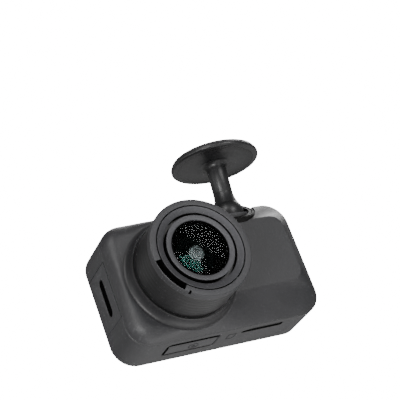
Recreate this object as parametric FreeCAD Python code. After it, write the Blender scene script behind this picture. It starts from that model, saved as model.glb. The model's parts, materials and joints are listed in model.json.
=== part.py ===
import FreeCAD, Part
import math
import os

# Windscreen camera with its adhesive ball mount. Lengths are millimetres.
# While it is being built the origin is the middle of the seam plane between the two case shells:
# X runs to the right as one faces the lens, Y runs backwards away from the lens, Z is up.
# Every piece is moved at the end so that the centre of the adhesive face becomes the origin.

Vector = FreeCAD.Vector

# Case
CASE_WIDTH = 52.9
CASE_HEIGHT = 31.3
CASE_CORNER = 6.0
BAND_DEPTH = 13.0
FRONT_DEPTH = 3.85
WALL = 1.6
REAR_EDGE = 0.7
SHELL_GAP = 0.05
# Flat front panel beside the lens, bounded by bevels that run back to the seam
PANEL_X = (-22.6, 22.5)
PANEL_Z = (-7.55, 10.6)
PANEL_CORNER = 3.5
EDGE_ROUND = 3.8
# Hollow behind the panel
CAVITY_X = (-20.6, 20.6)
CAVITY_Z = (-5.0, 8.6)
CAVITY_CORNER = 2.5

# Lens
LENS_X = -9.94
LENS_Z = -0.66
COLLAR_RADIUS = 14.5
BARREL_RADIUS = 12.55
BARREL_FOOT_Y = -6.95
BARREL_FRONT_Y = -16.2
FACE_Y = -18.3
NECK_RADIUS = 10.5
BARREL_BORE = 8.2
GASKET_RADIUS = 11.6
GASKET_FRONT_Y = -2.2
GASKET_THICKNESS = 1.0
GLASS_RADIUS = 7.0
GLASS_THICKNESS = 1.4
CELL_RADIUS = 7.6
CELL_FRONT_Y = -14.1
CELL_BACK_Y = 1.8
FLANGE_Y = (-3.0, -1.8)
ELEMENT_RADIUS = 5.3
FRONT_ELEMENT_Y = -14.6
MIDDLE_ELEMENT_Y = -6.2
REAR_ELEMENT_Y = -2.2
BAFFLE_MOUTH = 6.9
BAFFLE_HOLE = 5.0
BAFFLE_DEPTH = 2.0
BAFFLE_WALL = 0.8
APERTURE_RADIUS = 1.3
APERTURE_Y = (-7.6, -7.0)
RETAINER_BORE = 3.6
RETAINER_Y = (0.8, 1.7)
FILTER_SIDE = 9.0
FILTER_Y = (1.9, 2.3)
SENSOR_WIDTH = 8.6
SENSOR_HEIGHT = 7.0
SENSOR_FRONT_Y = 2.45
SENSOR_HOLDER_FRONT_Y = 1.85
SENSOR_HOLDER_BORE = 9.6
SLOT_START = -173.0
SLOT_END = -129.0
SLOT_INNER = 10.95
SLOT_OUTER = 12.2
COLLAR_TOP_RADIUS = 13.2
RING_OUTER = (10.85, 12.4)
RING_MIDDLE = (9.05, 10.65)
RING_INNER_OUTER = 8.5

# Ball mount
MOUTH_CENTRE = Vector(11.3, 0.1, 15.6)
MOUTH_TILT = 43.0
BALL_DEPTH = 0.8
BALL_RADIUS = 4.0
LINER_INNER = 4.05
LINER_OUTER = 5.0
SEAT_RADIUS = 5.05
CUP_RADIUS = 6.7
CUP_BOWL = 6.2
CUP_COLLAR = 1.2
SOCKET_CLEARANCE = 0.1
TRIM_DEPTH = 0.8
TRIM_OUTER = 5.9
TRIM_INNER = 5.1
HUMP_RADIUS = 7.15
HUMP_BELOW_MOUTH = 0.7
ARM_RADIUS = 2.55
ARM_LEAN_SIDE = 4.6
ARM_LEAN_FRONT = 3.5
ARM_FLARE = 1.3
ARM_FLARE_HEIGHT = 1.5
DISC_RADIUS = 11.6
DISC_HEIGHT = 14.1
DISC_THICKNESS = 1.2
BOSS_RADIUS = 4.0
DISH_DEPTH = 0.5
DISH_RADIUS = 9.3
PAD_RADIUS = 11.1
PAD_THICKNESS = 0.6
DISC_SCREW_HEAD = 1.25
DISC_SCREW_SINK = 0.6
DISC_SCREW_RADIUS = 0.6
DISC_SCREW_REACH = 3.0
SPIGOT_RADIUS = 1.2
RUNNING_GAP = 0.05
NECK_LOW = 2.2
NECK_TOP = 5.6
NECK_FLARE = 0.75
BALL_FLOOR = -2.0
SCREW_HEAD = 1.75
SCREW_HEAD_THICKNESS = 0.7
SPIGOT_LOW = -0.9

# Side panel with the power and data inlet
PANEL_INSERT_LOW = -7.0
PANEL_INSERT_HIGH = 7.7
PANEL_INSERT_THICKNESS = 1.2
PORT_LOW = -4.4
PORT_HIGH = 5.2
PORT_FRONT = 4.0
PORT_BACK = 6.7
PORT_CLEARANCE = 0.15
PORT_LAND_Z = (-9.0, 9.5)
RECEPTACLE_LENGTH = 6.4
RECEPTACLE_START = 2.7
RECEPTACLE_HALF_WIDTH = 4.9
RECEPTACLE_HALF_DEPTH = 1.75
RECEPTACLE_SHEET = 0.4
TONGUE_HALF_WIDTH = 3.4
TONGUE_HALF_DEPTH = 0.35

# Underside: event button and memory card
BUTTON_X = (-16.3, -2.0)
BUTTON_Y = (2.1, 8.8)
BUTTON_TRAVEL = 0.5
BUTTON_SINK = 0.2
BUTTON_GAP = 0.2
BUTTON_FLANGE = 0.7
BUTTON_FLANGE_THICKNESS = 0.4
BUTTON_CORNER = 0.8
SWITCH_X = (-11.6, -7.4)
SWITCH_Y = (6.4, 8.9)
SWITCH_HEIGHT = 0.5
SWITCH_CLEARANCE = 0.15
FLOOR_THICKNESS = 1.8
FLOOR_LAND_X = (-18.0, 20.5)
CARD_X = 10.05
CARD_Y = 3.6
CARD_WIDTH = 11.0
CARD_LENGTH = 15.0
CARD_THICKNESS = 1.0
CARD_GAP = 0.15
CARD_SINK = 0.5
CARD_NOTCH_WIDTH = 1.3
CARD_NOTCH_START = 9.0
CARD_SOCKET_WALL = 1.2
CARD_SOCKET_ROOF = 0.8
CARD_SOCKET_FRONT = 1.1
RELIEF_X = (4.2, 19.0)
RELIEF_Y = (2.4, 10.8)
RELIEF_DEPTH = 0.2
RELIEF_CORNER = 1.6

# Circuit boards
BOARD_FRONT = 5.0
BOARD_THICKNESS = 1.0
BOARD_X = (-17.0, 22.8)
BOARD_Z = (-12.9, 7.8)
SENSOR_BOARD_Y = 3.4
SENSOR_BOARD_THICKNESS = 0.8
SENSOR_BOARD_SIDE = 14.0
SENSOR_HOLDER_SIDE = 13.0
SCREW_PLACES = ((21.0, 5.5), (21.0, -11.0), (-15.2, -11.2))
SCREW_RADIUS = 0.8
SCREW_REACH = 2.6
SCREW_HEAD_HEIGHT = 0.9
POST_RADIUS = 1.5
CONNECTOR_SIZE = (8.0, 3.0)
PROCESSOR_X = (0.5, 11.5)
PROCESSOR_Z = (-7.5, 3.5)
PROCESSOR_HEIGHT = 1.1
CAN_X = (-0.5, 12.5)
CAN_Z = (-8.5, 4.5)
CAN_HEIGHT = 1.6
CAN_SHEET = 0.2
SPREADER_X = (-1.0, 13.0)
SPREADER_Z = (-9.0, 7.0)
SPREADER_THICKNESS = 0.75
CELL_X = (-15.5, -2.5)
CELL_Z = (-9.4, 6.5)
CELL_CORNER = 1.0
CELL_THICKNESS = 2.6
BUZZER_RADIUS = 4.4
BUZZER_HEIGHT = 2.3
BUZZER_X = 18.0
BUZZER_Z = -4.6
MICROPHONE_X = (19.5, 22.5)
MICROPHONE_Z = (-2.0, 2.0)
MICROPHONE_HEIGHT = 1.0
LIGHT_X = 19.5
LIGHT_Z = 8.5
LIGHT_RADIUS = 0.85
LIGHT_LENGTH = 3.4
LIGHT_FOOT = 2.0
ANTENNA_X = (-20.0, 0.0)
ANTENNA_Y = (0.8, 8.2)
ANTENNA_THICKNESS = 0.25
# Openings in the rear wall
SOUND_HOLES = 4
SOUND_HOLE_RADIUS = 0.45
SOUND_HOLE_X = 15.0
SOUND_HOLE_Z = -5.0
SOUND_HOLE_PITCH = 2.0

CASE_FLOOR = -CASE_HEIGHT / 2
CASE_LEFT = -CASE_WIDTH / 2
REAR_INNER = BAND_DEPTH - WALL
BOARD_BACK = BOARD_FRONT + BOARD_THICKNESS
FULL_TURN = 360


def box(x_range, y_range, z_range):
    size = [high - low for low, high in (x_range, y_range, z_range)]
    return Part.makeBox(*size, Vector(x_range[0], y_range[0], z_range[0]))


def rounded_outline(x_range, z_range, radius, y):
    """A closed rectangle with round corners, standing in the plane at y."""
    corners = []
    signs = ((1, 1), (-1, 1), (-1, -1), (1, -1))
    for sign_x, sign_z in signs:
        x = x_range[1] - radius if sign_x > 0 else x_range[0] + radius
        z = z_range[1] - radius if sign_z > 0 else z_range[0] + radius
        corners.append((Vector(x, y, z), math.degrees(math.atan2(sign_z, sign_x))))
    edges = []
    last = None
    first = None
    for centre, middle in corners:
        start, mid, end = (polar(centre, radius, middle + turn) for turn in (-45, 0, 45))
        if last is not None:
            edges.append(Part.makeLine(last, start))
        else:
            first = start
        edges.append(Part.Arc(start, mid, end).toShape())
        last = end
    edges.append(Part.makeLine(last, first))
    return Part.Wire(edges)


def polar(centre, radius, degrees):
    angle = math.radians(degrees)
    return centre + Vector(radius * math.cos(angle), 0, radius * math.sin(angle))


def slab(x_range, z_range, radius, y_range):
    """A plate with round corners between two planes."""
    face = Part.Face(rounded_outline(x_range, z_range, radius, y_range[0]))
    return face.extrude(Vector(0, y_range[1] - y_range[0], 0))


def case_outline(inset, y):
    half_width = CASE_WIDTH / 2 - inset
    half_height = CASE_HEIGHT / 2 - inset
    return rounded_outline((-half_width, half_width), (-half_height, half_height), CASE_CORNER - inset, y)


def case_prism(inset, y_range):
    return Part.Face(case_outline(inset, y_range[0])).extrude(Vector(0, y_range[1] - y_range[0], 0))


def backwards(radius, length, x, y, z):
    """A round bar that starts at a point and runs towards the rear."""
    return Part.makeCylinder(radius, length, Vector(x, y, z), Vector(0, 1, 0))


def lathe(profile):
    """Turns a closed profile of (radius, height) points about +Z."""
    points = [Vector(radius, 0, height) for radius, height in profile]
    wire = Part.makePolygon(points + points[:1])
    return Part.Face(wire).revolve(Vector(0, 0, 0), Vector(0, 0, 1), FULL_TURN)


def on_lens(shape):
    """Lays a shape built along +Z onto the lens axis, with its heights becoming Y."""
    moved = shape.copy()
    moved.rotate(Vector(0, 0, 0), Vector(1, 0, 0), -90)
    moved.translate(Vector(LENS_X, 0, LENS_Z))
    return moved


def mouth_axis():
    tilt = math.radians(MOUTH_TILT)
    return Vector(0, -math.sin(tilt), math.cos(tilt))


def arm_axis():
    side = math.tan(math.radians(ARM_LEAN_SIDE))
    front = math.tan(math.radians(ARM_LEAN_FRONT))
    return Vector(side, -front, 1).normalize()


def ball_centre():
    return MOUTH_CENTRE - mouth_axis() * BALL_DEPTH


def along(shape, axis):
    """Places a shape built along +Z from the ball's centre onto an axis through that centre."""
    moved = shape.copy()
    moved.Placement = FreeCAD.Placement(ball_centre(), FreeCAD.Rotation(Vector(0, 0, 1), axis)).multiply(
        moved.Placement
    )
    return moved


def socket_space():
    """Room that the socket cup takes out of the shells."""
    gap = SOCKET_CLEARANCE
    bowl = Part.makeSphere(CUP_BOWL + gap)
    collar = Part.makeCylinder(CUP_RADIUS + gap, 12.0, Vector(0, 0, BALL_DEPTH - CUP_COLLAR - gap))
    return along(bowl.fuse(collar), mouth_axis())


# ---- case ----


def front_shell():
    panel = rounded_outline(PANEL_X, PANEL_Z, PANEL_CORNER, -FRONT_DEPTH)
    bevelled = Part.makeLoft([case_outline(0, 0), panel], True, True)
    round_edged = case_prism(0, (-FRONT_DEPTH, 0))
    front_edges = [e for e in round_edged.Edges if e.BoundBox.YMax < -FRONT_DEPTH + 0.01]
    round_edged = round_edged.makeFillet(EDGE_ROUND, front_edges)
    left_part = round_edged.common(box((CASE_LEFT, LENS_X), (-FRONT_DEPTH, 0), (CASE_FLOOR, -CASE_FLOOR)))
    plateau = on_lens(Part.makeCylinder(COLLAR_RADIUS, FRONT_DEPTH, Vector(0, 0, -FRONT_DEPTH)))
    cavity_panel = rounded_outline(CAVITY_X, CAVITY_Z, CAVITY_CORNER, -FRONT_DEPTH + WALL)
    cavity = Part.makeLoft([case_outline(WALL, 0), cavity_panel], True, True)
    lens_hole = on_lens(Part.makeCylinder(NECK_RADIUS + SHELL_GAP, 10, Vector(0, 0, -8)))
    gasket_seat = on_lens(Part.makeCylinder(GASKET_RADIUS, 3, Vector(0, 0, GASKET_FRONT_Y)))
    shell = bevelled.fuse([left_part, plateau]).removeSplitter()
    return shell.cut([cavity, lens_hole, gasket_seat, socket_space()])


def rear_outer():
    band = case_prism(0, (SHELL_GAP, BAND_DEPTH))
    rear_edges = [e for e in band.Edges if e.BoundBox.YMin > BAND_DEPTH - 0.01]
    return band.makeFillet(REAR_EDGE, rear_edges)


def port_slot(grow, x_range):
    """A slot with round ends through the left wall."""
    half = (PORT_BACK - PORT_FRONT) / 2 + grow
    middle = (PORT_FRONT + PORT_BACK) / 2
    length = x_range[1] - x_range[0]
    ends = [PORT_LOW - grow + half, PORT_HIGH + grow - half]
    body = box(x_range, (middle - half, middle + half), ends)
    caps = [Part.makeCylinder(half, length, Vector(x_range[0], middle, z), Vector(1, 0, 0)) for z in ends]
    return body.fuse(caps)


def hump():
    """Swelling on the top of the rear shell that carries the back of the ball socket."""
    length = 10.0
    round_part = Part.makeCylinder(HUMP_RADIUS, length, Vector(0, 0, BALL_DEPTH - HUMP_BELOW_MOUTH - length))
    room = box((0, 24), (SHELL_GAP, BAND_DEPTH - REAR_EDGE / 2), (11, 24))
    return along(round_part, mouth_axis()).common(room)


def rear_shell():
    shell = rear_outer().fuse(hump())
    cavity = case_prism(WALL, (0, REAR_INNER))
    port_land = box((CASE_LEFT, CASE_LEFT + RECEPTACLE_START - 0.1), (0, BAND_DEPTH), PORT_LAND_Z)
    floor_land = box(FLOOR_LAND_X, (0, BAND_DEPTH), (CASE_FLOOR, CASE_FLOOR + FLOOR_THICKNESS))
    cavity = cavity.cut([port_land, floor_land])
    insert_room = box(
        (CASE_LEFT - 1, CASE_LEFT + PANEL_INSERT_THICKNESS + SHELL_GAP),
        (-1, BAND_DEPTH + 1),
        (PANEL_INSERT_LOW, PANEL_INSERT_HIGH),
    )
    button_window = box(BUTTON_X, BUTTON_Y, (CASE_FLOOR - 1, CASE_FLOOR + 4))
    relief = slab_down(RELIEF_X, RELIEF_Y, RELIEF_CORNER, (CASE_FLOOR - 1, CASE_FLOOR + RELIEF_DEPTH))
    half_width = CARD_WIDTH / 2 + CARD_GAP
    half_depth = CARD_THICKNESS / 2 + CARD_GAP
    card_slit = box(
        (CARD_X - half_width, CARD_X + half_width),
        (CARD_Y - half_depth, CARD_Y + half_depth),
        (CASE_FLOOR - 1, CASE_FLOOR + 4),
    )
    sound_holes = []
    for n in range(SOUND_HOLES):
        x = SOUND_HOLE_X + SOUND_HOLE_PITCH * n
        sound_holes.append(backwards(SOUND_HOLE_RADIUS, 3, x, BAND_DEPTH - 2, SOUND_HOLE_Z))
    light_hole = backwards(LIGHT_RADIUS + SHELL_GAP, 3, LIGHT_X, BAND_DEPTH - 2, LIGHT_Z)
    tools = [cavity, insert_room, button_window, relief, card_slit, light_hole, socket_space()]
    tools.append(port_slot(PORT_CLEARANCE, (CASE_LEFT - 1, CASE_LEFT + 4)))
    return shell.cut(tools + sound_holes).fuse(board_posts())


def board_posts():
    """Posts inside the rear wall that the main board is screwed to."""
    posts = []
    for x, z in SCREW_PLACES:
        post = backwards(POST_RADIUS, REAR_INNER - BOARD_BACK, x, BOARD_BACK, z)
        posts.append(post.cut(backwards(SCREW_RADIUS, SCREW_REACH, x, BOARD_FRONT, z)))
    return posts


def slab_down(x_range, y_range, radius, z_range):
    """A plate with round corners lying flat."""
    shape = box(x_range, y_range, z_range)
    upright = [e for e in shape.Edges if e.BoundBox.ZLength > z_range[1] - z_range[0] - 0.01]
    return shape.makeFillet(radius, upright)


def side_port_panel():
    room = box(
        (CASE_LEFT - 1, CASE_LEFT + PANEL_INSERT_THICKNESS),
        (SHELL_GAP, BAND_DEPTH),
        (PANEL_INSERT_LOW + SHELL_GAP, PANEL_INSERT_HIGH - SHELL_GAP),
    )
    return rear_outer().common(room).cut(port_slot(0, (CASE_LEFT - 2, CASE_LEFT + 3)))


def power_receptacle():
    """Metal shell of the inlet, open to the left, with its contact tongue."""
    middle = (PORT_FRONT + PORT_BACK) / 2
    centre = (PORT_LOW + PORT_HIGH) / 2
    start = CASE_LEFT + RECEPTACLE_START
    back = start + RECEPTACLE_LENGTH
    sheet = RECEPTACLE_SHEET

    def centred(x_range, half_depth, half_width):
        y_range = (middle - half_depth, middle + half_depth)
        return box(x_range, y_range, (centre - half_width, centre + half_width))

    outer = centred((start, back), RECEPTACLE_HALF_DEPTH, RECEPTACLE_HALF_WIDTH)
    mouth = centred((start - 1, back - 2 * sheet), RECEPTACLE_HALF_DEPTH - sheet, RECEPTACLE_HALF_WIDTH - sheet)
    tongue = centred((start + 1, back - sheet), TONGUE_HALF_DEPTH, TONGUE_HALF_WIDTH)
    return outer.cut(mouth).fuse(tongue)


# ---- lens ----


def barrel_collar():
    steps = 8
    height = -BARREL_FOOT_Y - FRONT_DEPTH
    reach = COLLAR_RADIUS - COLLAR_TOP_RADIUS
    curve = []
    for n in range(steps + 1):
        angle = math.radians(90 * n / steps)
        radius = COLLAR_RADIUS - reach * math.sin(angle)
        curve.append((radius, -FRONT_DEPTH - height * (1 - math.cos(angle))))
    foot = [(NECK_RADIUS + SHELL_GAP, BARREL_FOOT_Y), (NECK_RADIUS + SHELL_GAP, -FRONT_DEPTH)]
    return on_lens(lathe(curve + foot))


def lens_barrel():
    back = -1.0
    profile = [
        (BARREL_RADIUS, BARREL_FRONT_Y),
        (BARREL_RADIUS, BARREL_FOOT_Y),
        (NECK_RADIUS, BARREL_FOOT_Y),
        (NECK_RADIUS, back),
        (BARREL_BORE, back),
        (BARREL_BORE, BARREL_FRONT_Y),
    ]
    return on_lens(lathe(profile))


def bezel_outer():
    """Outer face ring with a curved bayonet slot right through it."""
    inner, outer = RING_OUTER
    edge = BARREL_RADIUS - outer
    profile = [
        (inner, FACE_Y),
        (outer, FACE_Y),
        (BARREL_RADIUS, FACE_Y + edge),
        (BARREL_RADIUS, BARREL_FRONT_Y),
        (inner, BARREL_FRONT_Y),
    ]
    front = FACE_Y - 1
    length = BARREL_FRONT_Y - FACE_Y + 2
    slot = Part.makeCylinder(SLOT_OUTER, length, Vector(0, 0, front), Vector(0, 0, 1), SLOT_END - SLOT_START)
    slot = slot.cut(Part.makeCylinder(SLOT_INNER, length, Vector(0, 0, front)))
    slot.rotate(Vector(0, 0, 0), Vector(0, 0, 1), -SLOT_END)
    return on_lens(lathe(profile).cut(slot))


def bezel_middle():
    """Middle face ring, dished towards the glass."""
    inner, outer = RING_MIDDLE
    dish = 0.5
    profile = [(inner, FACE_Y + dish), (outer, FACE_Y), (outer, BARREL_FRONT_Y), (inner, BARREL_FRONT_Y)]
    return on_lens(lathe(profile))


def bezel_inner():
    """Inner face ring, set back a little, that frames the glass."""
    inner = GLASS_RADIUS + SHELL_GAP
    outer = RING_INNER_OUTER
    front = FACE_Y + 0.35
    rise = 0.15
    profile = [(inner, front), (outer, front - rise), (outer, BARREL_FRONT_Y), (inner, BARREL_FRONT_Y)]
    return on_lens(lathe(profile))


def front_glass():
    back = BARREL_FRONT_Y
    return on_lens(Part.makeCylinder(GLASS_RADIUS, GLASS_THICKNESS, Vector(0, 0, back - GLASS_THICKNESS)))


def lens_baffle():
    """Black funnel behind the glass, open in the middle."""
    front = BARREL_FRONT_Y
    back = front + BAFFLE_DEPTH
    outer = BARREL_BORE - 0.1
    return on_lens(
        lathe(
            [
                (BAFFLE_MOUTH, front),
                (outer, front),
                (outer, back),
                (BAFFLE_HOLE, back),
                (BAFFLE_HOLE, back - BAFFLE_WALL),
            ]
        )
    )


def lens_cell():
    """Tube that holds the lens elements, with a flange near its back."""
    flange = BARREL_BORE - SHELL_GAP
    inner = ELEMENT_RADIUS + 0.1
    return on_lens(
        lathe(
            [
                (inner, CELL_FRONT_Y),
                (CELL_RADIUS, CELL_FRONT_Y),
                (CELL_RADIUS, FLANGE_Y[0]),
                (flange, FLANGE_Y[0]),
                (flange, FLANGE_Y[1]),
                (CELL_RADIUS, FLANGE_Y[1]),
                (CELL_RADIUS, CELL_BACK_Y),
                (inner, CELL_BACK_Y),
            ]
        )
    )


def lens_element(radius, front_y, thickness, bulge):
    """A lens with a domed front face of the given bulge and a flat back."""
    sphere_radius = (radius * radius + bulge * bulge) / (2 * bulge)
    dome = Part.makeSphere(sphere_radius, Vector(0, 0, front_y + sphere_radius))
    return on_lens(dome.common(Part.makeCylinder(radius, thickness, Vector(0, 0, front_y))))


def front_element():
    return lens_element(ELEMENT_RADIUS, FRONT_ELEMENT_Y, 2.6, 0.57)


def middle_element():
    return lens_element(ELEMENT_RADIUS, MIDDLE_ELEMENT_Y, 2.0, 0.8)


def rear_element():
    return lens_element(ELEMENT_RADIUS, REAR_ELEMENT_Y, 2.4, 1.0)


def flat_ring(inner, outer, heights):
    """A plain ring on the lens axis between two heights."""
    front, back = heights
    return on_lens(lathe([(inner, front), (outer, front), (outer, back), (inner, back)]))


def aperture_ring():
    return flat_ring(APERTURE_RADIUS, ELEMENT_RADIUS, APERTURE_Y)


def element_retainer():
    return flat_ring(RETAINER_BORE, ELEMENT_RADIUS, RETAINER_Y)


def lens_gasket():
    """Soft ring that seals the barrel's neck against the inside of the front shell."""
    heights = (GASKET_FRONT_Y, GASKET_FRONT_Y + GASKET_THICKNESS)
    return flat_ring(NECK_RADIUS + SHELL_GAP, GASKET_RADIUS, heights)


def centred_plate(side_x, side_z, y_range):
    half_x = side_x / 2
    half_z = side_z / 2
    return box((LENS_X - half_x, LENS_X + half_x), y_range, (LENS_Z - half_z, LENS_Z + half_z))


def infrared_filter():
    return centred_plate(FILTER_SIDE, FILTER_SIDE, FILTER_Y)


def sensor_holder():
    side = SENSOR_HOLDER_SIDE
    bore = SENSOR_HOLDER_BORE
    block = centred_plate(side, side, (SENSOR_HOLDER_FRONT_Y, SENSOR_BOARD_Y))
    return block.cut(centred_plate(bore, bore, (SENSOR_HOLDER_FRONT_Y - 1, SENSOR_BOARD_Y + 1)))


def image_sensor():
    return centred_plate(SENSOR_WIDTH, SENSOR_HEIGHT, (SENSOR_FRONT_Y, SENSOR_BOARD_Y))


def sensor_board():
    side = SENSOR_BOARD_SIDE
    return centred_plate(side, side, (SENSOR_BOARD_Y, SENSOR_BOARD_Y + SENSOR_BOARD_THICKNESS))


# ---- electronics ----


def board_connector():
    return centred_plate(*CONNECTOR_SIZE, (SENSOR_BOARD_Y + SENSOR_BOARD_THICKNESS, BOARD_FRONT))


def main_board():
    holes = [backwards(SCREW_RADIUS + SHELL_GAP, 4, x, BOARD_FRONT - 1, z) for x, z in SCREW_PLACES]
    return box(BOARD_X, (BOARD_FRONT, BOARD_BACK), BOARD_Z).cut(holes)


def processor():
    return box(PROCESSOR_X, (BOARD_BACK, BOARD_BACK + PROCESSOR_HEIGHT), PROCESSOR_Z)


def shield_can():
    """Sheet-metal lid over the processor, open towards the board."""
    outer = box(CAN_X, (BOARD_BACK, BOARD_BACK + CAN_HEIGHT), CAN_Z)
    inner_x = (CAN_X[0] + CAN_SHEET, CAN_X[1] - CAN_SHEET)
    inner_z = (CAN_Z[0] + CAN_SHEET, CAN_Z[1] - CAN_SHEET)
    return outer.cut(box(inner_x, (BOARD_BACK - 1, BOARD_BACK + CAN_HEIGHT - CAN_SHEET), inner_z))


def heat_spreader():
    front = BOARD_BACK + CAN_HEIGHT + SHELL_GAP
    return box(SPREADER_X, (front, front + SPREADER_THICKNESS), SPREADER_Z)


def backup_cell():
    front = BOARD_BACK + 0.1
    return slab(CELL_X, CELL_Z, CELL_CORNER, (front, front + CELL_THICKNESS))


def card_socket():
    """Metal card holder, open downwards, with room above for the card to be pushed in."""
    half_width = CARD_WIDTH / 2 + CARD_SOCKET_WALL
    low = CASE_FLOOR + FLOOR_THICKNESS + 0.1
    high = CASE_FLOOR + CARD_SINK + CARD_LENGTH + 2 * CARD_SOCKET_ROOF
    y_range = (CARD_Y - CARD_SOCKET_FRONT, BOARD_FRONT)
    outer = box((CARD_X - half_width, CARD_X + half_width), y_range, (low, high))
    half_slot = CARD_WIDTH / 2 + CARD_GAP
    half_thick = CARD_THICKNESS / 2 + CARD_GAP
    slot = box(
        (CARD_X - half_slot, CARD_X + half_slot),
        (CARD_Y - half_thick, CARD_Y + half_thick),
        (low - 1, high - CARD_SOCKET_ROOF),
    )
    return outer.cut(slot)


def memory_card():
    """Card that stands upright in its socket, with one side narrower at its inner end."""
    low = CASE_FLOOR + CARD_SINK
    half = CARD_WIDTH / 2
    half_thick = CARD_THICKNESS / 2
    left = CARD_X - half
    top = low + CARD_LENGTH
    card = box((left, CARD_X + half), (CARD_Y - half_thick, CARD_Y + half_thick), (low, top))
    notch = box((left - 1, left + CARD_NOTCH_WIDTH), (CARD_Y - 2, CARD_Y + 2), (low + CARD_NOTCH_START, top + 1))
    return card.cut(notch)


def buzzer():
    return backwards(BUZZER_RADIUS, BUZZER_HEIGHT, BUZZER_X, BOARD_BACK + SHELL_GAP, BUZZER_Z)


def microphone():
    return box(MICROPHONE_X, (BOARD_FRONT - MICROPHONE_HEIGHT, BOARD_FRONT), MICROPHONE_Z)


def status_light():
    """Light pipe from the board to the rear wall, with a square foot."""
    front = BAND_DEPTH - LIGHT_LENGTH - 0.2
    half = LIGHT_FOOT / 2
    stem = backwards(LIGHT_RADIUS, LIGHT_LENGTH, LIGHT_X, front, LIGHT_Z)
    foot_x = (LIGHT_X - half, LIGHT_X + half)
    foot_z = (LIGHT_Z - half, LIGHT_Z + half)
    return stem.fuse(box(foot_x, (BOARD_BACK + 0.7, front), foot_z))


def antenna():
    top = -CASE_FLOOR - WALL
    return box(ANTENNA_X, ANTENNA_Y, (top - ANTENNA_THICKNESS, top))


def board_screws():
    screws = []
    for x, z in SCREW_PLACES:
        head = backwards(POST_RADIUS, SCREW_HEAD_HEIGHT, x, BOARD_FRONT - SCREW_HEAD_HEIGHT, z)
        screws.append(head.fuse(backwards(SCREW_RADIUS, SCREW_REACH, x, BOARD_FRONT, z)))
    return Part.makeCompound(screws)


# ---- event button ----


def event_button():
    """Long key with a flange at each end that stops it inside the floor."""
    low = CASE_FLOOR + BUTTON_SINK
    top = CASE_FLOOR + FLOOR_THICKNESS + SHELL_GAP
    x_range = (BUTTON_X[0] + BUTTON_GAP, BUTTON_X[1] - BUTTON_GAP)
    y_range = (BUTTON_Y[0] + BUTTON_GAP, BUTTON_Y[1] - BUTTON_GAP)
    cap = slab_down(x_range, y_range, BUTTON_CORNER, (low, top))
    flange_x = (BUTTON_X[0] - BUTTON_FLANGE, BUTTON_X[1] + BUTTON_FLANGE)
    return cap.fuse(box(flange_x, y_range, (top, top + BUTTON_FLANGE_THICKNESS)))


def button_switch():
    low = CASE_FLOOR + FLOOR_THICKNESS + BUTTON_FLANGE_THICKNESS + BUTTON_TRAVEL + SWITCH_CLEARANCE
    return box(SWITCH_X, SWITCH_Y, (low, low + SWITCH_HEIGHT))


# ---- ball mount ----


def socket_cup():
    """Bowl that holds the liner and ball, cut off flat at the socket's mouth."""
    bowl = Part.makeSphere(CUP_BOWL)
    collar = Part.makeCylinder(CUP_RADIUS, CUP_COLLAR, Vector(0, 0, BALL_DEPTH - CUP_COLLAR))
    above = box((-10, 10), (-10, 10), (BALL_DEPTH, 20))
    seat = Part.makeSphere(SEAT_RADIUS)
    ring_room = Part.makeCylinder(TRIM_OUTER, 5, Vector(0, 0, BALL_DEPTH - TRIM_DEPTH))
    return along(bowl.fuse(collar).cut([above, seat, ring_room]), mouth_axis())


def socket_ring():
    """Thin trim ring let into the rim of the socket."""
    top = BALL_DEPTH - 0.1
    foot = BALL_DEPTH - TRIM_DEPTH + SHELL_GAP
    outer = TRIM_OUTER - SHELL_GAP
    ring = lathe([(TRIM_INNER, top), (TRIM_INNER, foot), (outer, foot), (outer, top)])
    return along(ring, mouth_axis())


def socket_liner():
    """Bowl between the ball and the cup. Its rim faces half way between the arm and the socket's mouth."""
    facing = (mouth_axis() + arm_axis()).normalize()
    shell = Part.makeSphere(LINER_OUTER).cut(Part.makeSphere(LINER_INNER))
    return along(shell.cut(box((-10, 10), (-10, 10), (0, 20))), facing)


def mount_ball():
    """Ball with a flared neck, bored for the arm's spigot."""
    steps = 6
    flare = []
    for n in range(steps + 1):
        share = n / steps
        radius = ARM_RADIUS + NECK_FLARE * (1 - math.sin(math.radians(90 * share)))
        flare.append((radius, NECK_LOW + (NECK_TOP - NECK_LOW) * share))
    ball = Part.makeSphere(BALL_RADIUS).fuse(lathe([(0, NECK_LOW)] + flare + [(0, NECK_TOP)]))
    bore = Part.makeCylinder(SPIGOT_RADIUS + RUNNING_GAP, 10, Vector(0, 0, BALL_FLOOR))
    head_room = Part.makeCylinder(SCREW_HEAD + 0.15, 5, Vector(0, 0, BALL_FLOOR - 5))
    return along(ball.cut([bore, head_room]), arm_axis())


def mount_arm():
    """Round arm that widens smoothly where it meets the disc, with a spigot for the ball."""
    foot = NECK_TOP + 0.1
    steps = 8
    outline = [(0, foot), (ARM_RADIUS, foot)]
    for n in range(steps + 1):
        angle = math.radians(90 * n / steps)
        radius = ARM_RADIUS + ARM_FLARE * (1 - math.cos(angle))
        outline.append((radius, DISC_HEIGHT - ARM_FLARE_HEIGHT * (1 - math.sin(angle))))
    outline.append((0, DISC_HEIGHT))
    spigot = Part.makeCylinder(SPIGOT_RADIUS, foot - SPIGOT_LOW, Vector(0, 0, SPIGOT_LOW))
    thread_foot = Vector(0, 0, DISC_HEIGHT - DISC_SCREW_REACH)
    thread = Part.makeCylinder(DISC_SCREW_RADIUS, DISC_SCREW_REACH, thread_foot)
    return along(lathe(outline).fuse(spigot).cut(thread), arm_axis())


def ball_screw():
    """Button screw under the ball that keeps it on the arm."""
    top = BALL_FLOOR - RUNNING_GAP
    thickness = SCREW_HEAD_THICKNESS
    head = Part.makeCylinder(SCREW_HEAD, thickness, Vector(0, 0, top - thickness))
    stem = Part.makeCylinder(SPIGOT_RADIUS, SPIGOT_LOW - top, Vector(0, 0, top))
    return along(head.fuse(stem), arm_axis())


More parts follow.
